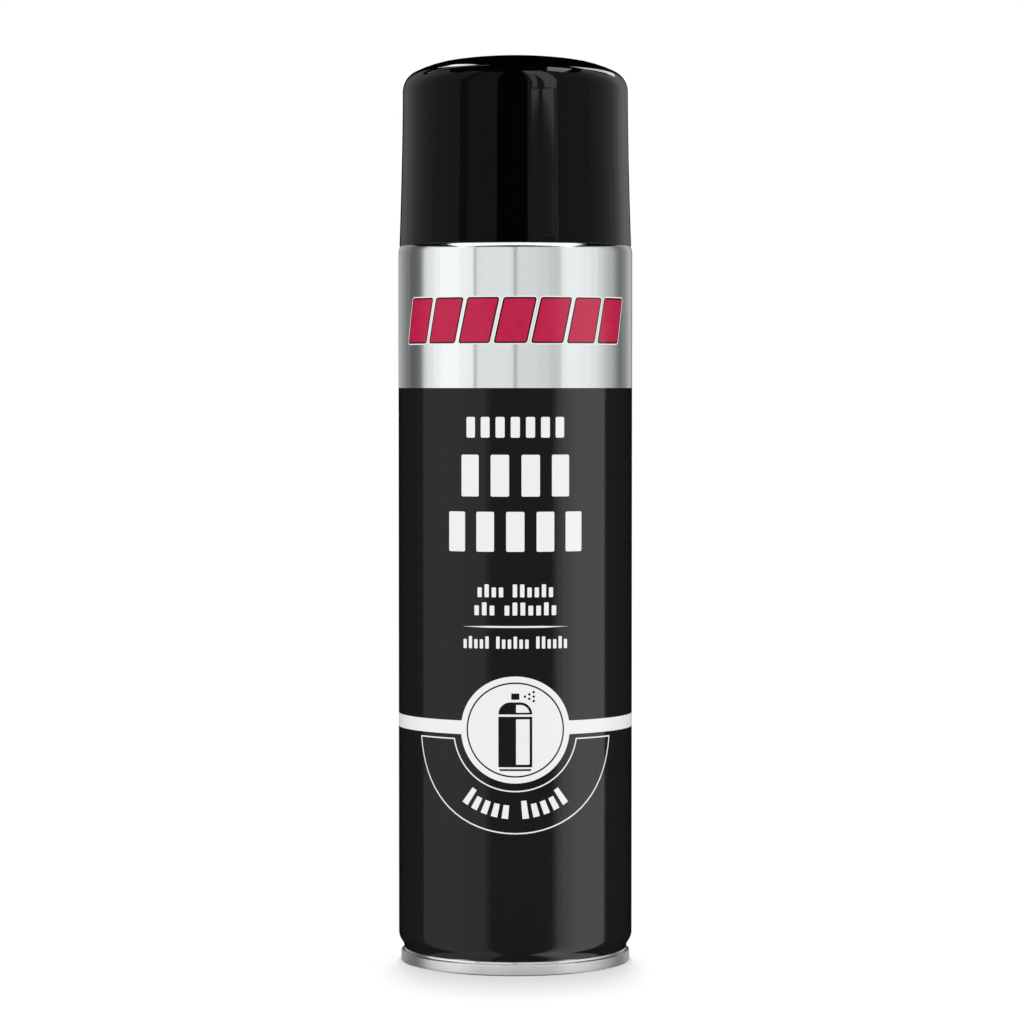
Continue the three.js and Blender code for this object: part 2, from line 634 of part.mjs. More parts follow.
function overcap() {
  const flare = (CAP_EDGE_RADIUS - CAP_WAIST_RADIUS) / (CAP_WAIST_Z - CAP_EDGE_Z);
  const innerWall = (z) => rz(CAP_EDGE_RADIUS - CAP_WALL - flare * (z - CAP_EDGE_Z), z);
  const outline = [
    rz(CAP_EDGE_RADIUS - CAP_LAND, CAP_EDGE_Z),
    rz(CAP_EDGE_RADIUS, CAP_EDGE_Z),
    rz(CAP_WAIST_RADIUS, CAP_WAIST_Z),
    ...capCrown(0),
    ...capCrown(CAP_WALL).reverse(),
    innerWall(CAP_WAIST_Z),
    innerWall(CAP_BEAD_Z + CAP_BEAD_HALF),
    rz(CAP_BEAD_RADIUS, CAP_BEAD_Z),
    innerWall(CAP_BEAD_Z - CAP_BEAD_HALF),
    innerWall(CAP_BEVEL_Z),
  ];
  for (const p of outline) if (Math.abs(p.x) < ON_AXIS) p.x = 0;
  // The outline starts at the crown's underside, so that it starts and ends on the axis.
  const tip = outline.findIndex((p) => p.x === 0);
  let cap = solid(turned([...outline.slice(tip + 1), ...outline.slice(0, tip + 1)], CAN_SIDES));
  for (let i = 0; i < CAP_RIBS; i++) cap = cap.add(solid(capRib((2 * Math.PI * i) / CAP_RIBS)));
  return geometryOf(cap);
}

// ---- Materials ----

const material = (color, roughness, metalness = 0) =>
  new THREE.MeshStandardMaterial({ color, roughness, metalness });
const printedTin = material(0x1d1c1d, 0.35, 0.3);
const tin = material(0xc9ced2, 0.25, 1);
const spring = material(0xb9bcc0, 0.3, 1);
const ball = material(0xc6c8cb, 0.15, 1);
const blackGloss = material(0x0c0c0d, 0.12);
const rubber = material(0x1b1b1c, 0.8);
const compound = material(0x8a8f7c, 0.7);
const whiteResin = material(0xe9e7e1, 0.45);
const naturalResin = material(0xdfe0da, 0.4);
const blackResin = material(0x1a1a1b, 0.4);

// ---- Assembly ----

function mesh(name, geometry, finish) {
  const made = new THREE.Mesh(geometry, finish);
  made.name = name;
  return made;
}

const can = new THREE.Group();
can.add(
  mesh("can_body", canBody(), printedTin),
  mesh("base_dome", baseDome(), tin),
  mesh("top_cone", topCone(), tin),
  mesh("base_seam_compound", seamCompound(BASE_SEAM_RADIUS), compound),
);
const topCompound = mesh("top_seam_compound", seamCompound(TOP_SEAM_RADIUS), compound);
topCompound.rotation.x = Math.PI;
topCompound.position.z = TOP_SEAM_Z;
can.add(topCompound, mesh("dip_tube", dipTube(), naturalResin));

const valve = new THREE.Group();
valve.position.z = CURL_Z;
valve.add(
  mesh("mounting_cup", mountingCup(), tin),
  mesh("cup_gasket", cupGasket(), rubber),
  mesh("stem_gasket", stemGasket(), rubber),
  mesh("valve_housing", valveHousing(), naturalResin),
  mesh("valve_spring", valveSpring(), spring),
  mesh("valve_stem", valveStem(), whiteResin),
);

const button = new THREE.Group();
button.position.z = BUTTON_Z;
const insert = mesh("spray_insert", sprayInsert(), blackResin);
insert.position.z = INSERT_HEIGHT;
button.add(mesh("actuator_button", actuatorButton(), whiteResin), insert);

const balls = new THREE.Group();
const ballShape = new THREE.SphereGeometry(BALL_RADIUS, BALL_SIDES, BALL_RINGS);
for (let i = 0; i < BALL_COUNT; i++) {
  const rolling = mesh(`mixing_ball_${i + 1}`, ballShape, ball);
  const around = THREE.MathUtils.degToRad(BALL_FROM + BALL_STEP * i);
  rolling.position.set(BALL_ORBIT * Math.cos(around), BALL_ORBIT * Math.sin(around), BALL_Z);
  balls.add(rolling);
}

const sprayCan = new THREE.Group();
sprayCan.add(can, valve, button, balls, mesh("overcap", overcap(), blackGloss));

export default sprayCan;
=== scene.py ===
"""Looks of the aerosol spray can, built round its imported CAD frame.

Shapes are worked out in millimetres and turned into metres as each mesh is made. Angles round the
can are from the front, -Y, towards +X. The print is laid out flat: u runs round the can's wall from
the front and z up it.
"""

import math

import bmesh
import bpy
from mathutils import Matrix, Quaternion, Vector


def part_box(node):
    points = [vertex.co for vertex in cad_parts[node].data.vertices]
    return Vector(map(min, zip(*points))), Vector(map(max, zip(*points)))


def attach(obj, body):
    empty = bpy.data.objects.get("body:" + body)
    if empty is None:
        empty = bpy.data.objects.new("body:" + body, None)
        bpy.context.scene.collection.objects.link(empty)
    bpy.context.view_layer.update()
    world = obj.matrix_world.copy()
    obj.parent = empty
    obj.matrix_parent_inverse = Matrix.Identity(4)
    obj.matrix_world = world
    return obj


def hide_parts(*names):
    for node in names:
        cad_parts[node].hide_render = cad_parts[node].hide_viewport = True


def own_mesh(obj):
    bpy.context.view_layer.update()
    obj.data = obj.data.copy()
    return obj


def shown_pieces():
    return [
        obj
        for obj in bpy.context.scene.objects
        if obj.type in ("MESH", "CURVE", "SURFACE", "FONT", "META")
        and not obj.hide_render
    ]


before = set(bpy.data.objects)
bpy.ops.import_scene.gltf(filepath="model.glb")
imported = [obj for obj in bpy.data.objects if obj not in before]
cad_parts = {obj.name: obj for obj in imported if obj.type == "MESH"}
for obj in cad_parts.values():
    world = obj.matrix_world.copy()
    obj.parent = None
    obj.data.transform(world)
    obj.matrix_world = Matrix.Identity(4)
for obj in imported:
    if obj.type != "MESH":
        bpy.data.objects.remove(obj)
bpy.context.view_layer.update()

MM = 0.001


def box_of(node):
    """A CAD node's lowest and highest corners, in millimetres."""
    low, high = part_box(node)
    return low / MM, high / MM


# ---- Sizes that the frame gives ----

BODY_LOW, BODY_HIGH = box_of("can_body")
CAP_LOW, CAP_HIGH = box_of("overcap")
BUTTON_LOW, BUTTON_HIGH = box_of("actuator_button")
STEM_HIGH = box_of("valve_stem")[1]
TUBE_HIGH = box_of("dip_tube")[1]
BODY_RADIUS = BODY_HIGH.x
TOP_SEAM_Z = BODY_HIGH.z + BODY_LOW.z
BASE_SEAM_RADIUS = box_of("base_dome")[1].x
TOP_SEAM_RADIUS = box_of("top_cone")[1].x

# ---- Facets ----

CAN_FACETS = 240
VALVE_FACETS = 96
FINE_FACETS = 48
ARC_STEP = 5
BEND_STEPS = 12
FACET_WIDTH = 2 * math.pi * BODY_RADIUS / CAN_FACETS
SHARP_ANGLE = math.radians(32)
ON_AXIS = 1e-6
BEAD_LAND = 0.2

# ---- Sheet metal ----

BODY_SHEET = 0.2
END_SHEET = 0.24
CUP_SHEET = 0.34
SEAM_GAP = 0.06
SEAM_CORNER = 0.4
SEAM_FOLD_DEPTH = 2.72
COVER_HOOK_DEPTH = 1.25
BODY_FOLD_DEPTH = 0.78
BODY_HOOK_DEPTH = 2.15
LAYER_PITCH = (END_SHEET + BODY_SHEET) / 2 + SEAM_GAP

BASE_NECK_FROM = 3.5
BASE_NECK_TO = 8.2
TOP_NECK_FROM = TOP_SEAM_Z - 9.4
TOP_NECK_TO = TOP_SEAM_Z - 3.4
BASE_PANEL_Z = 3.9
BASE_PANEL_BEND = 1.0
BASE_DOME_RADIUS = 60

COUNTERSINK_DEPTH = 3.2
COUNTERSINK_BEND = 0.7
CONE_SLOPE = 60
CONE_FILLET = 1.5
CURL_Z = TOP_SEAM_Z + 12.9
CURL_BEND = 1.4
CURL_INNER = 12.84
CURL_CENTRE = CURL_INNER + CURL_BEND

CUP_GASKET_SHEET = 0.3
CUP_GASKET_BEND = CURL_BEND + 0.32
CUP_RIM_BEND = CURL_BEND + 0.7
CUP_WALL = CURL_CENTRE - CUP_RIM_BEND
CUP_CRIMP = 13.1
CUP_PANEL_Z = -8.1
CUP_PANEL_BEND = 1.2
CUP_CORNER = 1.1
PEDESTAL_WALL = 5.75
PEDESTAL_TOP_Z = 0.5
PEDESTAL_CORNER = 0.9
PEDESTAL_CRIMP = 5.15
PEDESTAL_HOLE = 2.35

# ---- Print ----

# The wall's bare radius leaves room under the can's full radius for the layers of ink.
INK = 0.008
INK_LAYERS = 4
WALL_RADIUS = BODY_RADIUS - INK * (INK_LAYERS + 1)
PRINT_FROM = 3.8
PRINT_TO = 159.4
MARGIN_FACETS = 6
BADGE_Z = 67.0
BAND_FROM = BADGE_Z - 1.4
BAND_TO = BADGE_Z + 2.3
BADGE_RADIUS = 14.5
BADGE_RING = 12.9
RING_WIDTH = 0.42
CRESCENT_OUTER = 28.3
CRESCENT_INNER = 16.5
CRESCENT_TOP = BAND_FROM - 1.1
LINE_WIDTH = 0.36
ROUND_STRETCH = 1.055
RULE_Z = 94.9
RULE_HALF = 14.9
RULE_WIDTH = 0.5
STRIPE_HALF = 34.6
STRIPE_FROM = 171.9
STRIPE_TO = 183.5
STRIPE_BLOCKS = 7
STRIPE_SLANT = 2.6
STRIPE_GAP = 1.9
KEYLINE = 0.42
HALO = 0.3

# Rows of generic blocks where a label has its wording: half width, bottom, top, groups of blocks.
WORD_ROWS = (
    ("print_row_1", 13.6, 146.0, 151.6, (7,)),
    ("print_row_2", 15.1, 130.1, 141.4, (4,)),
    ("print_row_3", 19.0, 115.2, 126.0, (5,)),
    ("print_row_4", 10.4, 102.9, 106.4, (4, 6)),
    ("print_row_5", 11.3, 98.0, 101.5, (3, 7)),
    ("print_row_6", 14.5, 89.0, 92.3, (5, 6, 6)),
)
ARC_ROW_RADII = (19.3, 24.2)
ARC_ROW_HALF = 35.5
ARC_ROW_GROUPS = (5, 5)
BLOCK_SHARE = 0.6
GROUP_SPACE = 0.9
BLOCK_CORNER = 0.22
SHORT_BLOCK = 0.76

# In the curved row, the blocks that reach further in, and by how much.
ARC_ROW_TALL = (0, 5, 9)
ARC_ROW_RISE = 1.2

# ---- Outlines: lists of (radius, height) ----


def arc(r, z, radius, start, end):
    """Points on an arc about (r, z) between two angles in degrees, both ends included."""
    count = max(2, math.ceil(abs(end - start) / ARC_STEP))
    angles = [math.radians(start + (end - start) * i / count) for i in range(count + 1)]
    return [(r + radius * math.cos(a), z + radius * math.sin(a)) for a in angles]


def s_bend(start, end):
    """Two equal arcs that carry an upright line from one point to another."""
    dr, dz = end[0] - start[0], end[1] - start[1]
    radius = (dr * dr + dz * dz) / (4 * abs(dr))
    turn = math.asin(abs(dz) / (2 * radius))
    first, second = [], []
    for i in range(BEND_STEPS + 1):
        angle = turn * i / BEND_STEPS
        r = math.copysign(radius * (1 - math.cos(angle)), dr)
        z = math.copysign(radius * math.sin(angle), dz)
        first.append((start[0] + r, start[1] + z))
        second.insert(0, (end[0] - r, end[1] - z))
    return first + second[1:]


def bead(wall, crest, start, end):
    """An S bend out to a crest, a short land, and an S bend back."""
    middle = (start + end) / 2
    half = math.copysign(BEAD_LAND / 2, end - start)
    return s_bend((wall, start), (crest, middle - half)) + s_bend((crest, middle + half), (wall, end))


def mirrored(points, z):
    return [(r, z - height) for r, height in points]


def thicken(line, thickness):
    """The closed outline of a sheet of the given thickness about its centre line."""
    points = [Vector(p) for p in line]
    across = [Vector((a.y - b.y, b.x - a.x)).normalized() for a, b in zip(points, points[1:])]
    sides = ([], [])
    for i, p in enumerate(points):
        before = across[max(i - 1, 0)]
        after = across[min(i, len(across) - 1)]
        mean = (before + after).normalized()
        reach = thickness / 2 / mean.dot(before)
        sides[0].append(tuple(p + mean * reach))
        sides[1].append(tuple(p - mean * reach))
    return sides[0] + sides[1][::-1]


def seam_layer(outer, layer):
    """The radius of a double seam's layer, from the seaming wall, 0, to the chuck wall, 4."""
    return outer - END_SHEET / 2 - layer * LAYER_PITCH


def body_hook(outer):
    hook = seam_layer(outer, 1)
    fold = arc(hook - LAYER_PITCH, BODY_FOLD_DEPTH, LAYER_PITCH, 0, -180)
    return [(hook, BODY_HOOK_DEPTH)] + fold


def end_seam(outer):
    wall = seam_layer(outer, 0)
    chuck = seam_layer(outer, 4)
    rim = END_SHEET / 2 + SEAM_CORNER
    return (
        [(seam_layer(outer, 2), COVER_HOOK_DEPTH)]
        + arc(wall - LAYER_PITCH, SEAM_FOLD_DEPTH, LAYER_PITCH, 180, 0)
        + arc(wall - SEAM_CORNER, rim, SEAM_CORNER, 0, -90)
        + arc(chuck + SEAM_CORNER, rim, SEAM_CORNER, -90, -180)
    )


# ---- Meshes ----


def around(angle, r, z):
    """A point at an angle round the can from its front."""
    return (r * math.sin(angle), -r * math.cos(angle), z)


def lathe(outline, facets, skipped=0):
    """A closed turned solid. skipped leaves out that many facets in the middle of the back."""
    closed = outline[0][0] > ON_AXIS or outline[-1][0] > ON_AXIS
    columns = facets if not skipped else facets - skipped + 1
    start = -math.pi + math.pi * skipped / facets
    bm = bmesh.new()
    rings = []
    for r, z in outline:
        if r <= ON_AXIS:
            rings.append([bm.verts.new((0, 0, z))] * columns)
            continue
        angles = [start + 2 * math.pi * i / facets for i in range(columns)]
        rings.append([bm.verts.new(around(a, r, z)) for a in angles])
    pairs = list(zip(rings, rings[1:]))
    if closed:
        pairs.append((rings[-1], rings[0]))
    spans = columns - 1 if skipped else columns
    for low, high in pairs:
        for i in range(spans):
            j = (i + 1) % columns
            corners = dict.fromkeys((low[i], low[j], high[j], high[i]))
            bm.faces.new(list(corners))
    if skipped:
        bm.faces.new([ring[0] for ring in rings])
        bm.faces.new([ring[-1] for ring in rings][::-1])
    bmesh.ops.recalc_face_normals(bm, faces=bm.faces[:])
    return bm


def sheet_lathe(line, thickness, facets):
    return lathe(thicken(line, thickness), facets)


def rod(radius, start, end, facets=FINE_FACETS):
    """A cylinder along Z between two heights."""
    return lathe([(0, start), (radius, start), (radius, end), (0, end)], facets)


def forward(bm, z):
    """Turns a mesh that points up so that it points out of the front, at a height."""
    for vert in bm.verts:
        x, y, height = vert.co
        vert.co = (x, -height, y + z)
    return bm


def block(width, depth, height, centre, turn):
    """A box turned about its own upright, with its centre at a point turned with it."""
    bm = bmesh.new()
    bmesh.ops.create_cube(bm, size=1)
    for vert in bm.verts:
        local = Vector((vert.co.x * width, vert.co.y * depth, vert.co.z * height)) + Vector(centre)
        x = local.x * math.cos(turn) - local.y * math.sin(turn)
        y = local.x * math.sin(turn) + local.y * math.cos(turn)
        vert.co = (x, y, local.z)
    return bm


def boolean(bm, others, operation):
    """bm joined with, or cut by, the other closed meshes in turn."""
    for other in others:
        pair = []
        for made in (bm, other):
            mesh = bpy.data.meshes.new("boolean")
            made.to_mesh(mesh)
            made.free()
            obj = bpy.data.objects.new("boolean", mesh)
            bpy.context.scene.collection.objects.link(obj)
            pair.append(obj)
        modifier = pair[0].modifiers.new("boolean", "BOOLEAN")
        modifier.operation = operation
        modifier.solver = "MANIFOLD"
        modifier.object = pair[1]
        depsgraph = bpy.context.evaluated_depsgraph_get()
        bm = bmesh.new()
        bm.from_object(pair[0], depsgraph)
        for obj in pair:
            mesh = obj.data
            bpy.data.objects.remove(obj)
            bpy.data.meshes.remove(mesh)
    return bm


def sweep(path, radii, sides, reference):
    """A wire, or a tube where two radii are given, along a path of points."""
    bm = bmesh.new()
    shells = [[] for _ in radii]
    for i, point in enumerate(path):
        along = (path[min(i + 1, len(path) - 1)] - path[max(i - 1, 0)]).normalized()
        normal = (reference - along * reference.dot(along)).normalized()
        side = along.cross(normal)
        for shell, radius in zip(shells, radii):
            angles = [2 * math.pi * k / sides for k in range(sides)]
            ring = [point + radius * (normal * math.cos(a) + side * math.sin(a)) for a in angles]
            shell.append([bm.verts.new(p) for p in ring])
    for shell in shells:
        for low, high in zip(shell, shell[1:]):
            for k in range(sides):
                m = (k + 1) % sides
                bm.faces.new((low[k], low[m], high[m], high[k]))
    for end in (0, -1):
        if len(radii) == 1:
            bm.faces.new(shells[0][end])
            continue
        for k in range(sides):
            m = (k + 1) % sides
            bm.faces.new((shells[0][end][k], shells[0][end][m], shells[1][end][m], shells[1][end][k]))
    bmesh.ops.recalc_face_normals(bm, faces=bm.faces[:])
    return bm


def piece(name, bm, surface, body, slot, *nodes):
    """A finished piece of the object, in metres, that rides on a body and may stand for CAD nodes."""
    for vert in bm.verts:
        vert.co *= MM
    mesh = bpy.data.meshes.new(name)
    bm.to_mesh(mesh)
    bm.free()
    mesh.shade_smooth()
    mesh.set_sharp_from_angle(angle=SHARP_ANGLE)
    mesh.materials.append(surface)
    obj = bpy.data.objects.new(name, mesh)
    bpy.context.scene.collection.objects.link(obj)
    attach(obj, body)
    if nodes:
        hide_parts(*nodes)
    return obj


# ---- Flat outlines for the print: loops of (u, z) ----


def rounded_block(left, right, bottom, top, corner=BLOCK_CORNER, slant=0.0):
    """A block with rounded corners, leaning to the right by slant over its height."""
    centres = (
        (right - corner, bottom + corner, -90),
        (right - corner, top - corner, 0),
        (left + corner, top - corner, 90),
        (left + corner, bottom + corner, 180),
    )
    points = []
    for u, z, start in centres:
        points += arc(u, z, corner, start, start + 90)
    middle = (bottom + top) / 2
    return [(u + slant * (z - middle) / (top - bottom), z) for u, z in points]


def disc(u, z, radius):
    return arc(u, z, radius, 0, 360)[:-1]


def badge_arc(radius, start, end):
    """An arc about the badge's centre, stretched round the can so that it looks round on it."""
    return [(u * ROUND_STRETCH, z) for u, z in arc(0, BADGE_Z, radius, start, end)]


def badge_disc(radius):
    return badge_arc(radius, 0, 360)[:-1]


def arc_block(radius_in, radius_out, start, end):
    """A block between two radii about the badge's centre and two angles in degrees."""
    return badge_arc(radius_out, start, end) + badge_arc(radius_in, end, start)


def crescent(outer, inner, top):
    """The shape between two circles about the badge's centre, under a level top edge."""
    outer_angle = math.degrees(math.asin((top - BADGE_Z) / outer))
    inner_angle = math.degrees(math.asin((top - BADGE_Z) / inner))
    outside = badge_arc(outer, outer_angle, -180 - outer_angle)
    return outside + badge_arc(inner, -180 - inner_angle, inner_angle)


def block_spans(half, groups):
    """The left and right ends of blocks in groups that fill a row, with a space between groups."""
    pitch = 2 * half / (sum(groups) - 1 + BLOCK_SHARE + GROUP_SPACE * (len(groups) - 1))
    spans = []
    left = -half
    for count in groups:
        for _ in range(count):
            spans.append((left, left + pitch * BLOCK_SHARE))
            left += pitch
        left += pitch * GROUP_SPACE
    return spans


def decal(name, shapes, layer, surface):
    """A thin layer of ink on the wall. Each shape is an outline followed by its holes."""
    bm = bmesh.new()
    for loops in shapes:
        edges = []
        for loop in loops:
            verts = [bm.verts.new((u, z, 0)) for u, z in loop]
            edges += [bm.edges.new(pair) for pair in zip(verts, verts[1:] + verts[:1])]
        bmesh.ops.triangle_fill(bm, use_beauty=True, edges=edges, normal=(0, 0, 1))
    reach = math.ceil(max(abs(vert.co.x) for vert in bm.verts) / FACET_WIDTH)
    for k in range(-reach, reach + 1):
        geometry = bm.verts[:] + bm.edges[:] + bm.faces[:]
        bmesh.ops.bisect_plane(bm, geom=geometry, plane_co=(k * FACET_WIDTH, 0, 0), plane_no=(1, 0, 0))
    made = bmesh.ops.extrude_face_region(bm, geom=bm.faces[:], use_keep_orig=True)
    for item in made["geom"]:
        if isinstance(item, bmesh.types.BMVert):
            item.co.z = INK
    base = WALL_RADIUS + INK * layer
    for vert in bm.verts:
        u, z, depth = vert.co
        vert.co = around(u / BODY_RADIUS, base + depth, z)
    bmesh.ops.recalc_face_normals(bm, faces=bm.faces[:])
    piece(name, bm, surface, "can", "printed_tinplate")


# ---- Materials ----

# Noise textures share a roughness, and colours and roughnesses run over the middle of their range.
NOISE_ROUGHNESS = 0.55
NOISE_RANGE = (0.3, 0.7)


class Surface:
    """A procedural material: a Principled shader, and short calls for the textures that feed it."""

    def __init__(self, name, values):
        self.material = bpy.data.materials.new(name)
        self.material.use_nodes = True
        self.nodes = self.material.node_tree.nodes
        self.links = self.material.node_tree.links
        self.shader = self.nodes["Principled BSDF"]
        self.place = self.nodes.new("ShaderNodeTexCoord").outputs["Object"]
        self.relief = None
        for socket, value in values.items():
            self.shader.inputs[socket].default_value = value

    def noise(self, size, stretch=(1, 1, 1), detail=3.0):
        """A noise whose features are about size millimetres across, and longer where stretched."""
        mapping = self.nodes.new("ShaderNodeMapping")
        mapping.inputs["Scale"].default_value = [1 / (size * MM * s) for s in stretch]
        self.links.new(self.place, mapping.inputs["Vector"])
        texture = self.nodes.new("ShaderNodeTexNoise")
        texture.inputs["Scale"].default_value = 1.0
        texture.inputs["Detail"].default_value = detail
        texture.inputs["Roughness"].default_value = NOISE_ROUGHNESS
        self.links.new(mapping.outputs["Vector"], texture.inputs["Vector"])
        return texture.outputs["Fac"]

    def colours(self, factor, low, high):
        """The base colour, running between two colours with the factor."""
        node = self.nodes.new("ShaderNodeValToRGB")
        for element, place, colour in zip(node.color_ramp.elements, NOISE_RANGE, (low, high)):
            element.position = place
            element.color = (*colour, 1)
        self.links.new(factor, node.inputs["Fac"])
        self.links.new(node.outputs["Color"], self.shader.inputs["Base Color"])

    def roughness(self, factor, low, high):
        """The roughness, running from low to high with the factor."""
        node = self.nodes.new("ShaderNodeMapRange")
        sockets = ("From Min", "From Max", "To Min", "To Max")
        for socket, value in zip(sockets, (*NOISE_RANGE, low, high)):
            node.inputs[socket].default_value = value
        self.links.new(factor, node.inputs["Value"])
        self.links.new(node.outputs["Result"], self.shader.inputs["Roughness"])

    def bump(self, factor, height):
        """Relief of the given height in millimetres, on top of any relief so far."""
        node = self.nodes.new("ShaderNodeBump")
        node.inputs["Distance"].default_value = height * MM
        self.links.new(factor, node.inputs["Height"])
        if self.relief:
            self.links.new(self.relief, node.inputs["Normal"])
        self.relief = node.outputs["Normal"]
        self.links.new(self.relief, self.shader.inputs["Normal"])


UPRIGHT = (1, 1, 90)
LEVEL = (30, 30, 1)


def tin_wall():
    """Clear-lacquered bright tinplate: fine upright streaks and faint clouds in the tin."""
    s = Surface("tin_wall", {"Metallic": 1.0, "Coat Weight": 0.25, "Coat Roughness": 0.05})
    streaks = s.noise(0.45, UPRIGHT)
    s.colours(streaks, (0.820, 0.853, 0.861), (0.845, 0.876, 0.883))
    s.roughness(s.noise(1.6, UPRIGHT), 0.11, 0.15)
    s.bump(s.noise(7, (1, 1, 6), 1.0), 0.006)
    s.bump(streaks, 0.0002)
    return s.material


def tin_end():
    """Drawn tinplate of the ends and the valve cup: brighter, with fine handling scuffs."""
    s = Surface("tin_end", {"Metallic": 1.0})
    clouds = s.noise(2.2)
    s.colours(clouds, (0.77, 0.785, 0.80), (0.82, 0.83, 0.84))
    s.roughness(s.noise(0.5, detail=5.0), 0.27, 0.36)
    s.bump(s.noise(0.28, LEVEL), 0.001)
    s.bump(clouds, 0.002)
    return s.material


def weld_metal():
    """The bare weld, blued and dulled by its heat."""
    s = Surface("weld_metal", {"Metallic": 1.0})
    beads = s.noise(0.5, (1, 1, 0.7))
    s.colours(beads, (0.20, 0.21, 0.235), (0.50, 0.50, 0.49))
    s.roughness(beads, 0.3, 0.5)
    s.bump(beads, 0.01)
    return s.material


def ink(name, low, high, rough_low, rough_high, ior=1.5):
    """A varnished printing ink: a fine grain in its colour and a slight orange peel."""
    s = Surface(name, {"IOR": ior})
    grain = s.noise(0.35, detail=4.0)
    s.colours(grain, low, high)
    s.roughness(s.noise(2.5), rough_low, rough_high)
    s.bump(s.noise(0.9), 0.0006)
    s.bump(s.noise(9, (1, 1, 5), 1.0), 0.004)
    return s.material


def cap_plastic():
    """High-gloss black polypropylene: long moulding waves, a fine grain and a few rubbed patches."""
    s = Surface("cap_plastic", {"IOR": 1.5})
    s.colours(s.noise(1.2), (0.0008, 0.0008, 0.0009), (0.0013, 0.0013, 0.0014))
    s.roughness(s.noise(7, (1, 1, 2.5)), 0.03, 0.055)
    s.bump(s.noise(13, (1, 1, 3), 1.0), 0.006)
    s.bump(s.noise(0.22), 0.0001)
    return s.material


def lining_compound():
    s = Surface("lining_compound", {})
    s.colours(s.noise(0.4), (0.36, 0.38, 0.31), (0.47, 0.49, 0.41))
    s.roughness(s.noise(0.3), 0.6, 0.8)
    s.bump(s.noise(0.2), 0.01)
    return s.material


def seal_rubber():
    s = Surface("seal_rubber", {"Specular IOR Level": 0.4})
    s.colours(s.noise(0.3), (0.026, 0.026, 0.028), (0.044, 0.044, 0.046))
    s.roughness(s.noise(0.5), 0.65, 0.85)
    s.bump(s.noise(0.12), 0.006)
    return s.material


def resin(name, low, high, rough_low, rough_high, glow=0.0):
    """A moulded resin with an even spark-eroded texture, and some light in its depth."""
    s = Surface(name, {"Subsurface Weight": glow, "Subsurface Scale": 0.0008})
    s.colours(s.noise(1.1), low, high)
    s.roughness(s.noise(0.6), rough_low, rough_high)
    s.bump(s.noise(0.09, detail=1.0), 0.0025)
    s.bump(s.noise(4, detail=1.0), 0.01)
    return s.material


def tube_polymer():
    """Extruded polyethylene: cloudy, with draw lines along its length."""
    s = Surface("tube_polymer", {"Transmission Weight": 0.55, "IOR": 1.51})
    lines = s.noise(0.3, (1, 1, 120))
    s.colours(s.noise(2), (0.78, 0.80, 0.80), (0.86, 0.88, 0.88))
    s.roughness(lines, 0.28, 0.4)
    s.bump(lines, 0.003)
    return s.material


def polished_steel(name, rough_low, rough_high, scratch):
    s = Surface(name, {"Metallic": 1.0})
    s.colours(s.noise(0.8), (0.58, 0.585, 0.595), (0.70, 0.705, 0.715))
    s.roughness(s.noise(0.4, detail=5.0), rough_low, rough_high)
    s.bump(s.noise(0.07, (6, 1, 1)), scratch)
    return s.material


TIN_WALL = tin_wall()
TIN_END = tin_end()
WELD = weld_metal()
BLACK_INK = ink("black_ink", (0.0110, 0.0100, 0.0102), (0.0142, 0.0129, 0.0131), 0.09, 0.13, 1.6)
WHITE_INK = ink("white_ink", (0.86, 0.865, 0.865), (0.90, 0.905, 0.90), 0.25, 0.35)
CRIMSON_INK = ink("crimson_ink", (0.50, 0.005, 0.052), (0.56, 0.008, 0.066), 0.2, 0.3)
CAP_PLASTIC = cap_plastic()
COMPOUND = lining_compound()
RUBBER = seal_rubber()
WHITE_RESIN = resin("white_resin", (0.79, 0.78, 0.75), (0.85, 0.84, 0.81), 0.33, 0.45, 0.2)
NATURAL_RESIN = resin("natural_resin", (0.70, 0.70, 0.65), (0.78, 0.78, 0.74), 0.3, 0.42, 0.35)
BLACK_RESIN = resin("black_resin", (0.014, 0.014, 0.015), (0.024, 0.024, 0.025), 0.3, 0.42)
TUBE_POLYMER = tube_polymer()
SPRING_STEEL = polished_steel("spring_steel", 0.18, 0.32, 0.002)
BALL_STEEL = polished_steel("ball_steel", 0.05, 0.16, 0.0006)

# ---- Can ----


def wall_line():
    """The body sheet's centre line from hook to hook, its straight wall set back for the ink."""
    wall = WALL_RADIUS - BODY_SHEET / 2
    base_wall = seam_layer(BASE_SEAM_RADIUS, 3)
    top_wall = seam_layer(TOP_SEAM_RADIUS, 3)
    return (
        body_hook(BASE_SEAM_RADIUS)
        + s_bend((base_wall, BASE_NECK_FROM), (wall, BASE_NECK_TO))
        + s_bend((wall, TOP_NECK_FROM), (top_wall, TOP_NECK_TO))
        + mirrored(body_hook(TOP_SEAM_RADIUS), TOP_SEAM_Z)[::-1]
    )


def black_print():
    """The black print's outline: it follows the lower neck, and lies on the wall above it."""
    wall = WALL_RADIUS - BODY_SHEET / 2
    neck = s_bend((seam_layer(BASE_SEAM_RADIUS, 3), BASE_NECK_FROM), (wall, BASE_NECK_TO))
    line = [point for point in neck if point[1] > PRINT_FROM] + [(wall, PRINT_TO)]
    inner = thicken(line, BODY_SHEET)[len(line):]
    outer = thicken(line, BODY_SHEET + 2 * INK)[len(line):]
    return inner + outer[::-1]


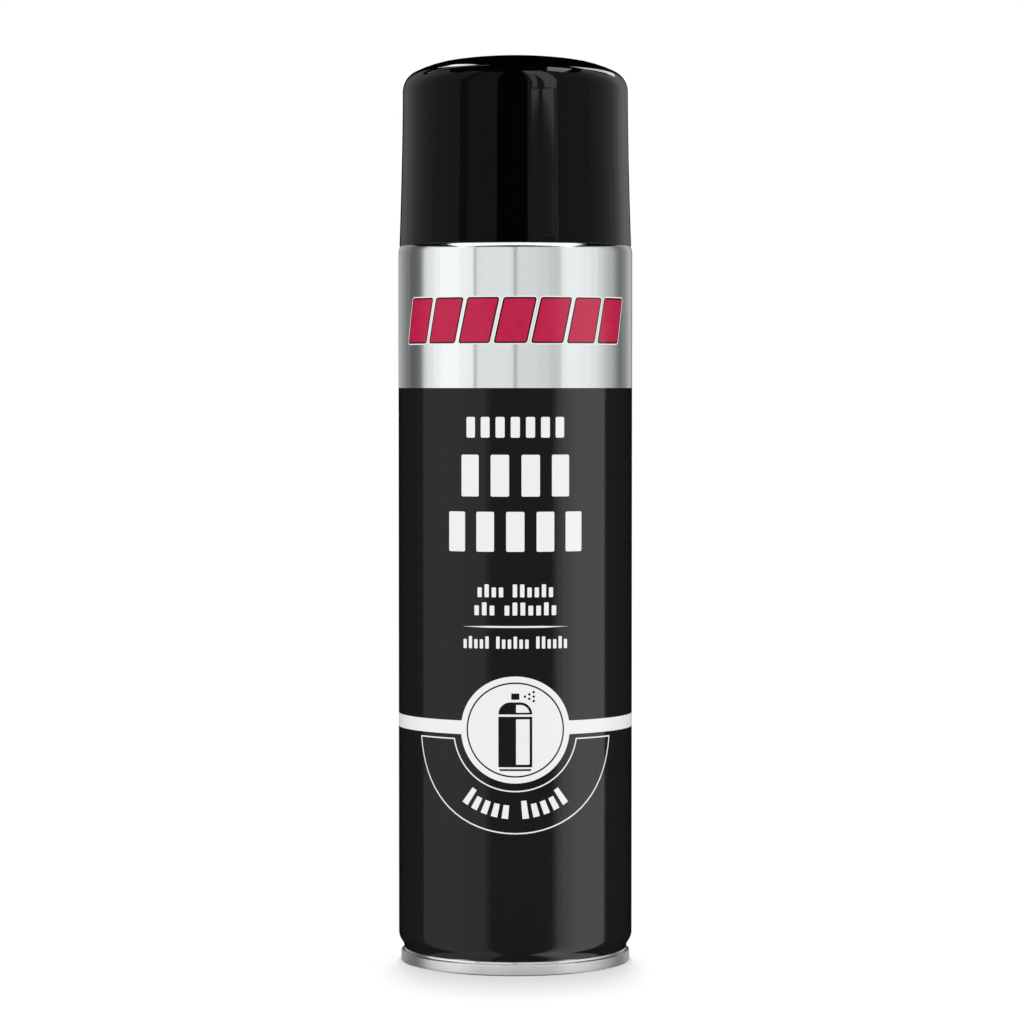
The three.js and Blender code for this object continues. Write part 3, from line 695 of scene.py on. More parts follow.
def base_end():
    """The concave base: its seam, a bend, and a dome to the axis."""
    chuck = seam_layer(BASE_SEAM_RADIUS, 4)
    bend_centre = chuck - BASE_PANEL_BEND
    slope = math.asin(bend_centre / (BASE_DOME_RADIUS - BASE_PANEL_BEND))
    dome_z = BASE_PANEL_Z - (BASE_DOME_RADIUS - BASE_PANEL_BEND) * math.cos(slope)
    lean = 90 - math.degrees(slope)
    steps = 24
    dome = []
    for k in range(1, steps + 1):
        angle = slope * (1 - k / steps)
        dome.append((BASE_DOME_RADIUS * math.sin(angle), dome_z + BASE_DOME_RADIUS * math.cos(angle)))
    line = end_seam(BASE_SEAM_RADIUS) + arc(bend_centre, BASE_PANEL_Z, BASE_PANEL_BEND, 0, lean) + dome
    return on_axis(thicken(line, END_SHEET))


def on_axis(outline):
    """An outline that crosses the axis once, turned round so that it starts and ends there."""
    snapped = [(0.0 if abs(r) < END_SHEET / 2 else r, z) for r, z in outline]
    tip = next(i for i, (r, _) in enumerate(snapped) if r == 0)
    return snapped[tip + 1:] + snapped[:tip + 1]


def cone_end():
    """The domed top: seam, countersink, cone, fillet and curl."""
    chuck = seam_layer(TOP_SEAM_RADIUS, 4)
    sink_r, sink_z = chuck - COUNTERSINK_BEND, TOP_SEAM_Z - COUNTERSINK_DEPTH
    foot_bend = arc(sink_r, sink_z, COUNTERSINK_BEND, 0, -90 - CONE_SLOPE)
    foot_r, foot_z = foot_bend[-1]
    slope = math.radians(CONE_SLOPE)
    radius = foot_r / math.sin(slope)
    dome_z = foot_z - radius * math.cos(slope)
    top = math.asin((CURL_INNER + CONE_FILLET) / (radius + CONE_FILLET))
    fillet_z = dome_z + (radius + CONE_FILLET) * math.cos(top)
    cone = arc(0, dome_z, radius, 90 - CONE_SLOPE, 90 - math.degrees(top))[1:-1]
    fillet = arc(CURL_INNER + CONE_FILLET, fillet_z, CONE_FILLET, 270 - math.degrees(top), 180)
    curl = arc(CURL_CENTRE, CURL_Z, CURL_BEND, 180, -90)
    return mirrored(end_seam(TOP_SEAM_RADIUS), TOP_SEAM_Z) + foot_bend + cone + fillet + curl


def compound_ring(outer):
    """The ring of lining compound in a double seam, between the body hook and the cover hook's fold."""
    hook = seam_layer(outer, 1)
    half = BODY_SHEET / 2
    low, high = BODY_HOOK_DEPTH + 0.1, SEAM_FOLD_DEPTH
    return [(hook - half, low), (hook + half, low), (hook + half, high), (hook - half, high)]


def weld_bead():
    """The side weld: a narrow raised line down the bare margin at the back."""
    half_width, proud, sunk = 0.45, 0.025, 0.05
    wall = WALL_RADIUS
    bm = bmesh.new()
    rings = []
    for z in (BASE_NECK_TO, TOP_NECK_FROM):
        section = [(-half_width, -sunk), (-half_width, 0.0), (-half_width / 2, proud)]
        section += [(half_width / 2, proud), (half_width, 0.0), (half_width, -sunk)]
        rings.append([bm.verts.new(around(math.pi + u / wall, wall + up, z)) for u, up in section])
    for k in range(len(rings[0])):
        m = (k + 1) % len(rings[0])
        bm.faces.new((rings[0][k], rings[0][m], rings[1][m], rings[1][k]))
    for ring in rings:
        bm.faces.new(ring)
    bmesh.ops.recalc_face_normals(bm, faces=bm.faces[:])
    return bm


def make_can():
    wall = sheet_lathe(wall_line(), BODY_SHEET, CAN_FACETS)
    piece("can_wall", wall, TIN_WALL, "can", "printed_tinplate", "can_body")
    piece("weld_bead", weld_bead(), WELD, "can", "printed_tinplate")
    piece("base_end", lathe(base_end(), CAN_FACETS), TIN_END, "can", "tinplate", "base_dome")
    cone = sheet_lathe(cone_end(), END_SHEET, CAN_FACETS)
    piece("cone_end", cone, TIN_END, "can", "tinplate", "top_cone")
    base_ring = lathe(compound_ring(BASE_SEAM_RADIUS), CAN_FACETS)
    piece("base_compound", base_ring, COMPOUND, "can", "seam_compound", "base_seam_compound")
    top_ring = lathe(mirrored(compound_ring(TOP_SEAM_RADIUS), TOP_SEAM_Z), CAN_FACETS)
    piece("top_compound", top_ring, COMPOUND, "can", "seam_compound", "top_seam_compound")


# ---- Print ----


def pictogram():
    """A plain sign for a spray can: a body with a lit side, a domed shoulder, a nozzle and a spray."""
    half, foot, waist = 4.6, 56.9, 70.6
    dome_foot, dome_top = 71.2, 74.5
    nozzle_half, nozzle_foot, nozzle_top = 1.1, 75.2, 76.9
    rim, lit_from = 0.7, 0.2
    plinth_foot, plinth_top = foot - 1.0, foot - 0.5
    dome_corner = dome_top - dome_foot
    dome = arc(half - dome_corner, dome_foot, dome_corner, 0, 90)
    dome += arc(dome_corner - half, dome_foot, dome_corner, 90, 180)
    dome_light = [(lit_from, dome_foot + 0.5)]
    dome_light += arc(half - dome_corner, dome_foot, dome_corner - rim, 11, 90)
    dome_light += [(lit_from, dome_top - rim)]
    body_light = rounded_block(lit_from, half - rim, foot + rim, waist - rim)
    shapes = [
        [rounded_block(-half, half, foot, waist), body_light],
        [rounded_block(0.3 - half, half - 0.3, plinth_foot, plinth_top, 0.15)],
        [dome, dome_light],
        [rounded_block(-nozzle_half, nozzle_half, nozzle_foot, nozzle_top, 0.2)],
    ]
    drop, pitch, spray_from = 0.34, 1.2, 2.6
    for column in range(3):
        for k in range(column + 1):
            lift = (k - column / 2) * pitch
            height = (nozzle_foot + nozzle_top) / 2 + lift
            shapes.append([disc(spray_from + pitch * column, height, drop)])
    return shapes


def row_shapes(half, bottom, top, groups):
    """Upright blocks in place of letters. Small rows vary in height, as lower-case words do."""
    small = len(groups) > 1
    corner = BLOCK_CORNER if small else 2 * BLOCK_CORNER
    shapes = []
    for k, (left, right) in enumerate(block_spans(half, groups)):
        tall = not small or (5 * k + 3) % 7 < 3
        height = (top - bottom) * (1.0 if tall else SHORT_BLOCK)
        shapes.append([rounded_block(left, right, bottom, bottom + height, corner)])
    return shapes


def arc_row_shapes():
    """The curved row under the badge."""
    inner, outer = ARC_ROW_RADII
    shapes = []
    for k, (left, right) in enumerate(block_spans(ARC_ROW_HALF, ARC_ROW_GROUPS)):
        near = inner if k in ARC_ROW_TALL else inner + ARC_ROW_RISE
        shapes.append([arc_block(near, outer, left - 90, right - 90)])
    return shapes


def rule_shape():
    """A thin line that tapers towards both ends."""
    end, shoulder, rise = RULE_HALF, RULE_HALF / 2, RULE_WIDTH / 2
    flat = [(-end, 0), (-shoulder, -rise), (shoulder, -rise), (end, 0), (shoulder, rise), (-shoulder, rise)]
    return [(u, RULE_Z + up) for u, up in flat]


def stripe_shapes(grow):
    """The row of slanted blocks on the bare tin, each grown outwards by a margin."""
    pitch = (2 * STRIPE_HALF + STRIPE_GAP) / STRIPE_BLOCKS
    shapes = []
    for k in range(STRIPE_BLOCKS):
        left = -STRIPE_HALF + pitch * k
        right = left + pitch - STRIPE_GAP
        low, high = STRIPE_FROM - grow, STRIPE_TO + grow
        slant = STRIPE_SLANT * (high - low) / (STRIPE_TO - STRIPE_FROM)
        shapes.append([rounded_block(left - grow, right + grow, low, high, 0.3 + grow, slant)])
    return shapes


def make_print():
    shell = lathe(black_print(), CAN_FACETS, MARGIN_FACETS)
    piece("print_black", shell, BLACK_INK, "can", "printed_tinplate")
    start, end = WALL_RADIUS + INK, WALL_RADIUS + 2 * INK
    band = [(start, BAND_FROM), (end, BAND_FROM), (end, BAND_TO), (start, BAND_TO)]
    piece("print_band", lathe(band, CAN_FACETS, MARGIN_FACETS), WHITE_INK, "can", "printed_tinplate")
    decal("print_badge", [[badge_disc(BADGE_RADIUS)]], 2, WHITE_INK)
    ring = [badge_disc(BADGE_RING), badge_disc(BADGE_RING - RING_WIDTH)]
    decal("print_badge_ring", [ring], 3, BLACK_INK)
    decal("print_pictogram", pictogram(), 3, BLACK_INK)
    outline = crescent(CRESCENT_OUTER, CRESCENT_INNER, CRESCENT_TOP)
    hole = crescent(CRESCENT_OUTER - LINE_WIDTH, CRESCENT_INNER + LINE_WIDTH, CRESCENT_TOP - LINE_WIDTH)
    decal("print_crescent", [[outline, hole]], 1, WHITE_INK)
    decal("print_rule", [[rule_shape()]], 1, WHITE_INK)
    for name, half, bottom, top, groups in WORD_ROWS:
        decal(name, row_shapes(half, bottom, top, groups), 1, WHITE_INK)
    decal("print_arc_row", arc_row_shapes(), 1, WHITE_INK)
    decal("print_stripe_halo", stripe_shapes(KEYLINE + HALO), 0, WHITE_INK)
    decal("print_stripe_keyline", stripe_shapes(KEYLINE), 1, BLACK_INK)
    decal("print_stripe", stripe_shapes(0), 2, CRIMSON_INK)


# ---- Valve ----

SPRING_WIRE = 0.28

# Heights from the curl's centre.
CHAMBER_FLOOR = -12.4
STEM_FLANGE_FOOT = -3.5


def lifted(points):
    """Points with their heights counted from the curl's centre, put at their height on the can."""
    return [(r, height + CURL_Z) for r, height in points]


def cup_line():
    """The mounting cup from its rim over the curl: crimp, panel, pedestal and the stem's hole."""
    corner_r, corner_z = CUP_WALL - CUP_CORNER, CUP_PANEL_Z + CUP_CORNER
    panel_r, panel_z = PEDESTAL_WALL + CUP_PANEL_BEND, CUP_PANEL_Z + CUP_PANEL_BEND
    top_r, top_z = PEDESTAL_WALL - PEDESTAL_CORNER, PEDESTAL_TOP_Z - PEDESTAL_CORNER
    return lifted(
        [(CURL_CENTRE + CUP_RIM_BEND, -1.2)]
        + arc(CURL_CENTRE, 0, CUP_RIM_BEND, 0, 180)
        + bead(CUP_WALL, CUP_CRIMP, -2.8, -6.6)
        + arc(corner_r, corner_z, CUP_CORNER, 0, -90)
        + arc(panel_r, panel_z, CUP_PANEL_BEND, -90, -180)
        + bead(PEDESTAL_WALL, PEDESTAL_CRIMP, -5.4, -3.6)
        + arc(top_r, top_z, PEDESTAL_CORNER, 0, 90)
        + [(PEDESTAL_HOLE, PEDESTAL_TOP_Z)]
    )


def cup_seal_line():
    """The cup's gasket: a sleeve that covers the curl's crown and its inner side."""
    sleeve = CURL_CENTRE - CUP_GASKET_BEND
    return lifted(arc(CURL_CENTRE, 0, CUP_GASKET_BEND, 45, 180) + [(sleeve, -2.1)])


def stem_outline():
    """The stem: a spigot inside the spring, a flange under the gasket, and a bored shaft."""
    spigot, flange, shaft, bore = 1.35, 2.9, 2.0, 1.05
    edge, lead = 0.1, 0.3
    foot, flange_foot, flange_top, bore_end, top = -5.5, STEM_FLANGE_FOOT, -1.1, -0.8, 9.9
    points = [(0, foot), (spigot - lead, foot), (spigot, foot + lead), (spigot, flange_foot)]
    points += [(flange - edge, flange_foot), (flange, flange_foot + edge)]
    points += [(flange, flange_top - edge), (flange - edge, flange_top), (shaft, flange_top)]
    points += arc(shaft - lead, top - lead, lead, 0, 90)
    points += [(bore + edge, top), (bore, top - edge), (bore, bore_end), (0, bore_end)]
    return lifted(points)


def housing_outline():
    """The housing: flange, spring chamber, and a barbed nipple with the feed bore through it."""
    flange, body, chamber, nipple, barb, bore = 5.1, 4.35, 3.25, 1.5, 1.66, 1.0
    top, flange_foot, body_foot, nipple_from, barb_from, foot = -1.0, -3.4, -12.8, -14.2, -19.8, -21.4
    return lifted([
        (chamber, top), (flange - 0.1, top), (flange, top - 0.1), (flange, flange_foot),
        (body, flange_foot), (body, body_foot), (2.3, nipple_from), (nipple, nipple_from),
        (nipple, barb_from), (barb, barb_from), (1.2, foot), (bore, foot),
        (bore, CHAMBER_FLOOR), (chamber, CHAMBER_FLOOR),
    ])


def spring_path():
    """The spring's centre line, with its turns closing up towards both ends."""
    radius, turns, steps, closing, clearance = 2.15, 5, 48, 0.55, 0.07
    low = CURL_Z + CHAMBER_FLOOR + SPRING_WIRE + clearance
    high = CURL_Z + STEM_FLANGE_FOOT - SPRING_WIRE - clearance
    path = []
    for i in range(turns * steps + 1):
        t = i / (turns * steps)
        eased = t - closing * math.sin(2 * math.pi * t) / (2 * math.pi)
        angle = 2 * math.pi * turns * t
        x, y = radius * math.cos(angle), radius * math.sin(angle)
        path.append(Vector((x, y, low + (high - low) * eased)))
    return path


def tube_path():
    """Upright under the valve, then a parabola out towards the wall."""
    top, end, straight, reach, steps = TUBE_HIGH.z, 11, 13, 24, 96
    path = []
    for i in range(steps + 1):
        fallen = (top - end) * i / steps
        bowed = max(0.0, (fallen - straight) / (top - end - straight))
        path.append(Vector((reach * bowed * bowed, 0, top - fallen)))
    return path


def make_valve():
    cup = sheet_lathe(cup_line(), CUP_SHEET, CAN_FACETS)
    piece("valve_cup", cup, TIN_END, "can", "tinplate", "mounting_cup")
    seal = sheet_lathe(cup_seal_line(), CUP_GASKET_SHEET, CAN_FACETS)
    piece("cup_seal", seal, RUBBER, "can", "gasket_rubber", "cup_gasket")
    hole, radius, foot, top = 2.08, 4.9, -0.95, 0.2
    ring = lathe(lifted([(hole, foot), (radius, foot), (radius, top), (hole, top)]), VALVE_FACETS)
    piece("stem_seal", ring, RUBBER, "can", "gasket_rubber", "stem_gasket")
    housing = lathe(housing_outline(), VALVE_FACETS)
    piece("housing", housing, NATURAL_RESIN, "can", "natural_resin", "valve_housing")
    wire = sweep(spring_path(), (SPRING_WIRE,), 16, Vector((0, 0, 1)))
    spring = piece("spring", wire, SPRING_STEEL, "can", "spring_steel", "valve_spring")
    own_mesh(spring)
    tube_radius, tube_bore = 2.3, 1.75
    tube = sweep(tube_path(), (tube_radius, tube_bore), 32, Vector((0, 1, 0)))
    piece("pickup_tube", tube, TUBE_POLYMER, "can", "tube_polymer", "dip_tube")
    orifice_radius, orifice_z = 0.35, -0.4
    orifice = rod(orifice_radius, 0, 3, 24)
    for vert in orifice.verts:
        x, y, z = vert.co
        vert.co = (z, y, CURL_Z + orifice_z - x)
    stem = boolean(lathe(stem_outline(), VALVE_FACETS), [orifice], "DIFFERENCE")
    piece("stem", stem, WHITE_RESIN, "valve_stem", "white_resin", "valve_stem")


# ---- Button ----

BUTTON_RADIUS = BUTTON_HIGH.x
BUTTON_HEIGHT = 16.4
INSERT_HEIGHT = 10.4


def button_shell():
    """The button's outside: a skirt with a lip, and sides that taper to a rounded brow."""
    brow = 1.2
    top = 7.4
    return (
        [(0, 0)]
        + arc(BUTTON_RADIUS - 0.25, 0.25, 0.25, -90, 0)
        + arc(BUTTON_RADIUS - 0.2, 1.8, 0.2, 0, 90)
        + [(BUTTON_RADIUS - 0.25, 2.15)]
        + arc(top - brow, BUTTON_HEIGHT - brow, brow, 0, 90)
        + [(0, BUTTON_HEIGHT)]
    )


def finger_dish():
    """The ball that hollows the button's top for a finger, set back from the spray."""
    radius, depth, back = 12, 1.8, 2.2
    dish = bmesh.new()
    bmesh.ops.create_uvsphere(dish, u_segments=96, v_segments=64, radius=radius)
    for vert in dish.verts:
        vert.co += Vector((0, back, BUTTON_HEIGHT - depth + radius))
    return dish


def button_cuts():
    """What is cut out of the button: its underside, dish, stem socket, channel and insert pocket."""
    wall, cavity_top, web = 1.1, 6.4, 0.8
    socket_radius, socket_wall, socket_to = 2.05, 3.4, STEM_HIGH.z - BUTTON_LOW.z + 0.1
    bore, bore_to = 0.8, 9.35
    channel, channel_z, channel_to = 0.55, 8.8, 5.15
    post, post_from, post_to = 0.95, 3.5, 6.2
    pocket_radius, pocket_from, mouth, mouth_from = 2.35, 4.2, 3.3, 6.6
    front = BUTTON_RADIUS + 1
    cavity = rod(BUTTON_RADIUS - wall, -1, cavity_top, VALVE_FACETS)
    webs = [block(2 * BUTTON_RADIUS, web, 6, (0, 0, 5), math.pi / 4 + k * math.pi / 2) for k in range(2)]
    cavity = boolean(cavity, [rod(socket_wall, 0.4, 8, VALVE_FACETS)] + webs, "DIFFERENCE")
    pocket = forward(rod(pocket_radius, pocket_from, front, VALVE_FACETS), INSERT_HEIGHT)
    pocket = boolean(pocket, [forward(rod(post, post_from, post_to), INSERT_HEIGHT)], "DIFFERENCE")
    return [
        cavity,
        finger_dish(),
        rod(socket_radius, -1, socket_to, VALVE_FACETS),
        rod(bore, socket_to - 1, bore_to),
        forward(rod(channel, 0, channel_to), channel_z),
        forward(rod(mouth, mouth_from, front, VALVE_FACETS), INSERT_HEIGHT),
        pocket,
    ]


def insert_outline():
    """The spray insert, along the way it points: a cup whose fine orifice widens at the front."""
    skirt, radius, orifice = 1.5, 2.25, 0.25
    foot, floor, front, edge = 4.4, 6.35, 7.0, 0.15
    outline = [(skirt, foot), (radius - 0.3, foot), (radius, foot + 0.3)]
    outline += arc(radius - edge, front - edge, edge, 0, 90)
    return outline + [(1.0, front), (orifice, 6.65), (orifice, floor), (skirt, floor)]


def make_button():
    bm = boolean(lathe(button_shell(), VALVE_FACETS), button_cuts(), "DIFFERENCE")
    for vert in bm.verts:
        vert.co.z += BUTTON_LOW.z
    button = piece("button", bm, WHITE_RESIN, "actuator", "white_resin", "actuator_button")
    bevel = button.modifiers.new("edges", "BEVEL")
    bevel.width = 0.12 * MM
    bevel.segments = 2
    bevel.limit_method = "ANGLE"
    bevel.angle_limit = math.radians(40)
    insert = forward(lathe(insert_outline(), FINE_FACETS), INSERT_HEIGHT + BUTTON_LOW.z)
    piece("spray_cup", insert, BLACK_RESIN, "actuator", "black_resin", "spray_insert")


# ---- Overcap ----

CAP_EDGE = CAP_HIGH.x
CAP_SHOULDER = 31.2
CAP_WALL = 1.1
CAP_CROWN = 120
CAP_CROWN_REACH = 18
CAP_HAUNCH = 34
CAP_CORNER = 6
CAP_FLARE = 1.6
CAP_RIBS = 8


def cap_crown(depth):
    """The cap's outside, or its inside at a depth, from the shoulder over to the axis."""
    crown_z = CAP_HIGH.z - CAP_CROWN
    reach = math.asin(CAP_CROWN_REACH / CAP_CROWN)
    haunch_r = (CAP_CROWN - CAP_HAUNCH) * math.sin(reach)
    haunch_z = crown_z + (CAP_CROWN - CAP_HAUNCH) * math.cos(reach)
    corner_r = CAP_SHOULDER - CAP_CORNER
    lean = math.asin((corner_r - haunch_r) / (CAP_HAUNCH - CAP_CORNER))
    corner_z = haunch_z + (CAP_HAUNCH - CAP_CORNER) * math.cos(lean)
    steps = 8
    crown = []
    for k in range(1, steps + 1):
        angle = reach * (1 - k / steps)
        radius = CAP_CROWN - depth
        crown.append((radius * math.sin(angle), crown_z + radius * math.cos(angle)))
    corner = arc(corner_r, corner_z, CAP_CORNER - depth, 0, 90 - math.degrees(lean))
    haunch = arc(haunch_r, haunch_z, CAP_HAUNCH - depth, 90 - math.degrees(lean), 90 - math.degrees(reach))
    return corner + haunch[1:] + crown


def cap_side(depth, start, top):
    """The slightly flared side, as a smooth curve from a height up to the shoulder."""
    steps = 24
    points = []
    for k in range(steps):
        z = start + (top - start) * k / steps
        flare = ((top - z) / (top - CAP_LOW.z)) ** CAP_FLARE
        points.append((CAP_SHOULDER + (CAP_EDGE - CAP_SHOULDER) * flare - depth, z))
    return points


def cap_outline():
    """The cap's wall: outside from its edge up, back down inside, and the snap bead."""
    crown = cap_crown(0)
    shoulder_z, edge_z = crown[0][1], CAP_LOW.z
    bead_z, bead_half, crest_half, lead = edge_z + 3.4, 0.7, 0.25, 1.2
    crest, root = TOP_SEAM_RADIUS + 0.12, TOP_SEAM_RADIUS + 0.25
    inner = CAP_EDGE - CAP_WALL
    return (
        [(CAP_EDGE - 0.16, edge_z), (CAP_EDGE - 0.06, edge_z + 0.03)]
        + cap_side(0, edge_z + 0.15, shoulder_z)
        + crown
        + cap_crown(CAP_WALL)[::-1]
        + cap_side(CAP_WALL, bead_z + bead_half, shoulder_z)[::-1]
        + [(root, bead_z + crest_half), (crest, bead_z), (root, bead_z - crest_half)]
        + [(inner, bead_z - bead_half), (inner, edge_z + lead)]
    )


def make_cap():
    shell = lathe(on_axis(cap_outline()), CAN_FACETS)
    rib_from, rib_to = TOP_SEAM_Z + 0.3, CAP_LOW.z + 38.7
    rib_at, rib_depth, rib_width = 30.0, 2.0, 1.0
    centre = (rib_at, 0, (rib_from + rib_to) / 2)
    ribs = []
    for k in range(CAP_RIBS):
        ribs.append(block(rib_depth, rib_width, rib_to - rib_from, centre, 2 * math.pi * k / CAP_RIBS))
    shell = boolean(shell, ribs, "UNION")
    piece("cap", shell, CAP_PLASTIC, "overcap", "overcap_plastic", "overcap")


# ---- Mixing balls ----


def make_balls():
    for number in (1, 2):
        node = f"mixing_ball_{number}"
        low, high = box_of(node)
        bm = bmesh.new()
        bmesh.ops.create_uvsphere(bm, u_segments=64, v_segments=32, radius=(high.z - low.z) / 2)
        for vert in bm.verts:
            vert.co += (low + high) / 2
        piece(f"ball_{number}", bm, BALL_STEEL, node, "ball_steel", node)


# ---- Studio ----

STUDIO_RADIUS = 0.9
FAR = 10
PANE_SLANT = 2.4
WATTS_PER_RADIANCE = 4.0
CAMERA_LENS = 132.7
CAMERA_PLACE = (0, -1.05, 0.1594)
CAMERA_AIM = (-0.00092, 0, 0.1249)

# Upright softboxes stand edge to edge round the can. Each entry is the angle from the front where
# one starts, in degrees, and its radiance. It ends where the next one starts.
TIN_LIGHT = (
    (-170, 0.34), (-155, 0.30), (-146, 0.23), (-136, 0.16), (-125, 0.10), (-110, 0.14),
    (-103.5, 0.36), (-99.5, 0.60), (-94, 0.68), (-86, 0.78), (-78, 0.85), (-56, 0.78),
    (-39.8, 0), (-38.3, 0.66), (-0.9, 0), (0.8, 0.61), (12, 0.60), (22, 0.56),
    (33, 0.50), (45, 0.74), (50, 0.77), (66, 0.73), (78, 0.67), (88, 0.56), (95, 0.46),
    (101, 0.39), (108, 0.31), (114, 0.20), (120, 0.14), (129, 0.20), (137, 0.26),
    (144, 0.36), (165, 0),
)
INK_LIGHT = (
    (-101, 0.20), (-90, 0.23), (-78, 0.26), (-50, 0.23), (-28, 0.08), (-24, 0),
    (37, 0.22), (41, 0.44), (46, 0.60), (53, 0.71), (60, 0.77), (83, 0.68), (97, 0),
    (170, 0.3), (190, 0),
)
CAP_LIGHT = (
    (-90, 0.155), (-57, 0.06), (-48, 0.12), (-18, 0), (12, 0.14), (80, 0.17), (90, 0),
)
CAP_SIDE_LIGHT = (
    (-135, 0.28), (-122, 0.24), (-110, 0.21), (-98, 0.18), (-90, 0),
    (90, 0.20), (99, 0.24), (108, 0.29), (117, 0.36), (127, 0.46), (135, 0),
)
CAP_REAR_LIGHT = (
    (-160, 0.18), (-148, 0.26), (-135, 0), (135, 0.44), (144, 0.32), (152, 0.25), (162, 0),
)
TIN_HEIGHTS = (-0.2, 0.58)
INK_HEIGHTS = (-4.0, 0.6)
CAP_HEIGHTS = (-0.2, 2.2)
CAP_SIDE_HEIGHTS = (-0.2, 1.4)
CAP_REAR_HEIGHTS = (-0.2, 0.8)

# Softboxes for steep views down the wall, set well under what the front view sees.
LOW_HEIGHTS = (-1.4, -0.45)
LOW_LIGHT = ((-180, 0.45), (-60, 0.6), (60, 0.45), (180, 0))


def lit_collection(name, pieces):
    """A collection that a group of lights is limited to."""
    collection = bpy.data.collections.new(name)
    for obj in pieces:
        collection.objects.link(obj)
    return collection


def softbox(name, angle, elevation, centre_z, size, radiance, receivers, tilt=0.0, away=STUDIO_RADIUS):
    """An area light that faces the can from an angle and elevation, seen only in reflections."""
    light = bpy.data.lights.new(name, "AREA")
    light.shape = "RECTANGLE"
    light.size, light.size_y = size
    light.energy = radiance * size[0] * size[1] * WATTS_PER_RADIANCE
    obj = bpy.data.objects.new(name, light)
    bpy.context.scene.collection.objects.link(obj)
    rise = math.radians(elevation)
    reach = away * math.cos(rise)
    centre = Vector((0, 0, centre_z))
    obj.location = centre + Vector(around(math.radians(angle), reach, away * math.sin(rise)))
    facing = (centre - obj.location).to_track_quat("-Z", "Y")
    obj.rotation_mode = "QUATERNION"
    obj.rotation_quaternion = facing @ Quaternion((0, 0, 1), math.radians(tilt))
    obj.visible_camera = False
    obj.visible_diffuse = False
    obj.light_linking.receiver_collection = receivers


def upright_boxes(name, levels, heights, receivers, gain=1.0):
    """A ring of upright softboxes from a table of (start angle, radiance)."""
    low, high = heights
    for k, ((start, radiance), (end, _)) in enumerate(zip(levels, levels[1:])):
        if radiance:
            width = 2 * STUDIO_RADIUS * math.tan(math.radians(end - start) / 2)
            size, level = (width, high - low), radiance * gain
            softbox(f"{name}_{k + 1}", (start + end) / 2, 0, (low + high) / 2, size, level, receivers)


def make_lights():
    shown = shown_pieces()
    metals = (TIN_WALL, TIN_END, WELD, SPRING_STEEL, BALL_STEEL)
    tin = [o for o in shown if o.data.materials[0] in metals]
    cap = [o for o in shown if o.data.materials[0] == CAP_PLASTIC]
    rest = [o for o in shown if o not in tin and o not in cap]
    tin_lit = lit_collection("tin_lit", tin)
    cap_lit = lit_collection("cap_lit", cap)
    ink_lit = lit_collection("ink_lit", rest)
    upright_boxes("tin", TIN_LIGHT, TIN_HEIGHTS, tin_lit)
    upright_boxes("cap", CAP_LIGHT, CAP_HEIGHTS, cap_lit)
    upright_boxes("cap_side", CAP_SIDE_LIGHT, CAP_SIDE_HEIGHTS, cap_lit)
    upright_boxes("cap_rear", CAP_REAR_LIGHT, CAP_REAR_HEIGHTS, cap_lit)
    upright_boxes("ink", INK_LIGHT, INK_HEIGHTS, ink_lit)
    upright_boxes("tin_low", LOW_LIGHT, LOW_HEIGHTS, tin_lit)
    upright_boxes("cap_low", LOW_LIGHT, LOW_HEIGHTS, cap_lit, 0.4)
    softbox("tin_front", 0, 58, 0.2, (2.4, 0.75), 0.95, tin_lit)
    softbox("tin_top", 0, 89.9, 0.2, (0.5, 0.5), 0.7, tin_lit)
    softbox("ink_top", 0, 89.9, 0.2, (0.6, 0.6), 0.5, ink_lit)
    # The cap's shoulder: a spot on the left, an arc on the right and a patch in front of it.
    softbox("cap_spot", -166.3, 38, 0.25, (0.075, 0.2), 3.2, cap_lit)
    softbox("cap_spot_tail", -150, 46, 0.25, (0.08, 0.45), 0.45, cap_lit, 48)
    softbox("cap_arc", 150, 36, 0.25, (0.18, 0.4), 2.4, cap_lit)
    softbox("cap_patch", 105, 66, 0.25, (0.45, 0.2), 1.8, cap_lit)
    # The window on the cap's side: two panes, the slanted ends under them and a thin upright line.
    softbox("cap_pane_1", 19.5, 38, 0.25, (0.09, 1.16), 0.6, cap_lit)
    softbox("cap_pane_2", 35.5, 38, 0.25, (0.23, 1.16), 0.75, cap_lit)
    softbox("cap_pane_end_1", 20, 0, 1.108, (1.31, 0.16), 0.6, cap_lit, -PANE_SLANT, FAR)
    softbox("cap_pane_end_2", 33.5, 0, 1.12, (2.18, 0.16), 0.75, cap_lit, PANE_SLANT, FAR)
    softbox("cap_line", 41.2, 0, 0.1, (0.022, 0.46), 0.28, cap_lit)


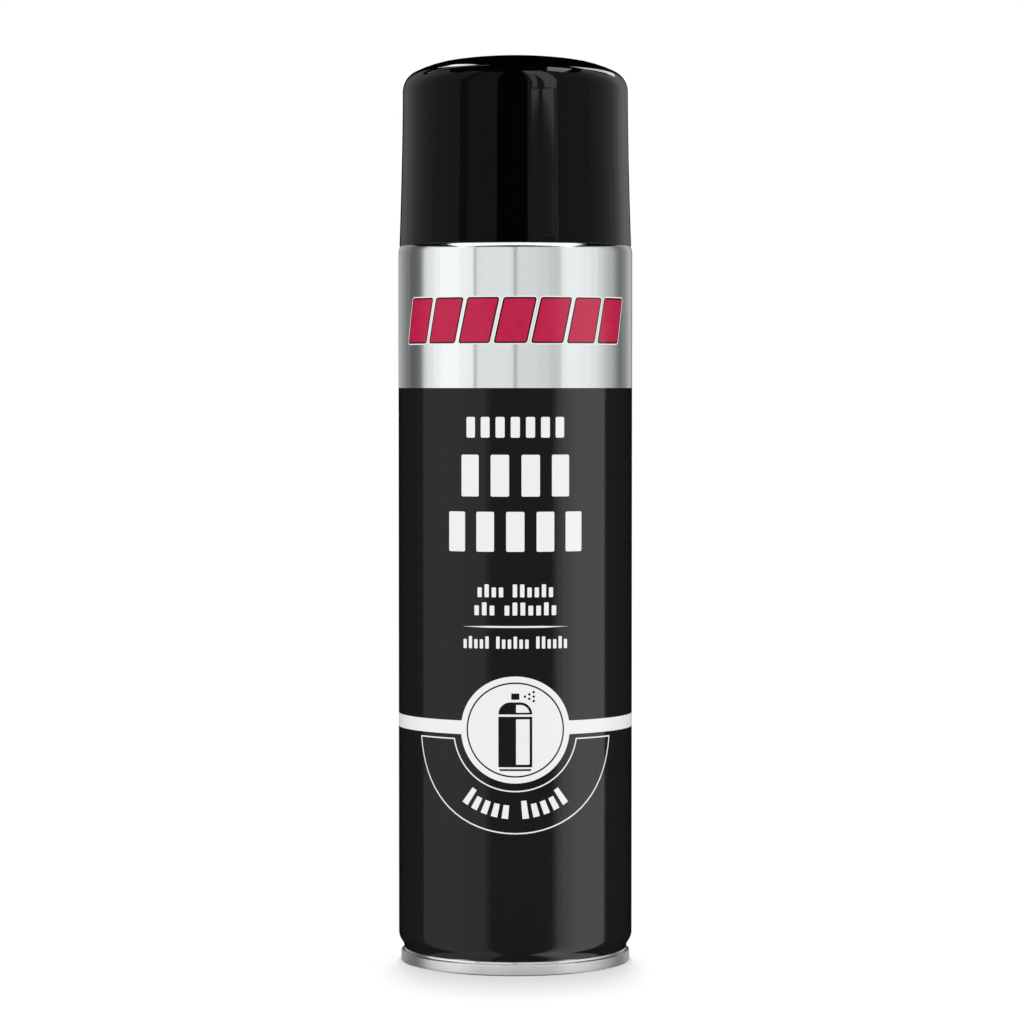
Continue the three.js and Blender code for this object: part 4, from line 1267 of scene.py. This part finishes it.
def make_world():
    """An even white surround. Gloss sees only the softboxes, not the surround."""
    world = bpy.data.worlds.new("studio")
    bpy.context.scene.world = world
    world.use_nodes = True
    world.node_tree.nodes["Background"].inputs["Color"].default_value = (1, 1, 1, 1)
    world.cycles_visibility.glossy = False


def make_floor():
    """A pale floor, lit mostly from within, that a row of high lamps shades just before the can."""
    half, drop, level, pale, shaded = 4.0, 0.00002, 1.03, 0.1, 0.3
    s = Surface("floor_paper", {"Specular IOR Level": 0.0, "Roughness": 0.9})
    s.colours(s.noise(30), (pale * 0.98,) * 3, (pale * 1.02,) * 3)
    s.shader.inputs["Emission Color"].default_value = (1, 1, 1, 1)
    s.shader.inputs["Emission Strength"].default_value = level - pale - shaded
    mesh = bpy.data.meshes.new("floor")
    corners = [(-half, -half, 0), (half, -half, 0), (half, half, 0), (-half, half, 0)]
    mesh.from_pydata(corners, [], [(0, 1, 2, 3)])
    mesh.materials.append(s.material)
    floor = bpy.data.objects.new("floor", mesh)
    floor.location.z = -drop
    floor.visible_glossy = False
    floor.visible_shadow = False
    bpy.context.scene.collection.objects.link(floor)
    lit = lit_collection("floor_lit", [floor])
    tilts = (2, 4.5, 7, 9.5)
    for k, tilt in enumerate(tilts):
        lamp = bpy.data.lights.new(f"floor_lamp_{k + 1}", "SUN")
        lamp.angle = math.radians(3.5)
        lamp.energy = shaded * math.pi / pale / len(tilts)
        obj = bpy.data.objects.new(f"floor_lamp_{k + 1}", lamp)
        bpy.context.scene.collection.objects.link(obj)
        obj.rotation_euler.x = math.radians(-tilt)
        obj.light_linking.receiver_collection = lit


def make_camera():
    """The photograph's view: level with the top of the black print, tipped slightly down."""
    camera = bpy.data.cameras.new("camera")
    camera.lens = CAMERA_LENS
    camera.sensor_width = 36
    obj = bpy.data.objects.new("camera", camera)
    bpy.context.scene.collection.objects.link(obj)
    obj.location = CAMERA_PLACE
    obj.rotation_mode = "QUATERNION"
    obj.rotation_quaternion = (Vector(CAMERA_AIM) - obj.location).to_track_quat("-Z", "Y")
    bpy.context.scene.camera = obj


# ---- Assembly ----

make_camera()
make_can()
make_print()
make_valve()
make_button()
make_cap()
make_balls()
make_lights()
make_world()
make_floor()
bpy.context.scene.view_settings.view_transform = "Standard"
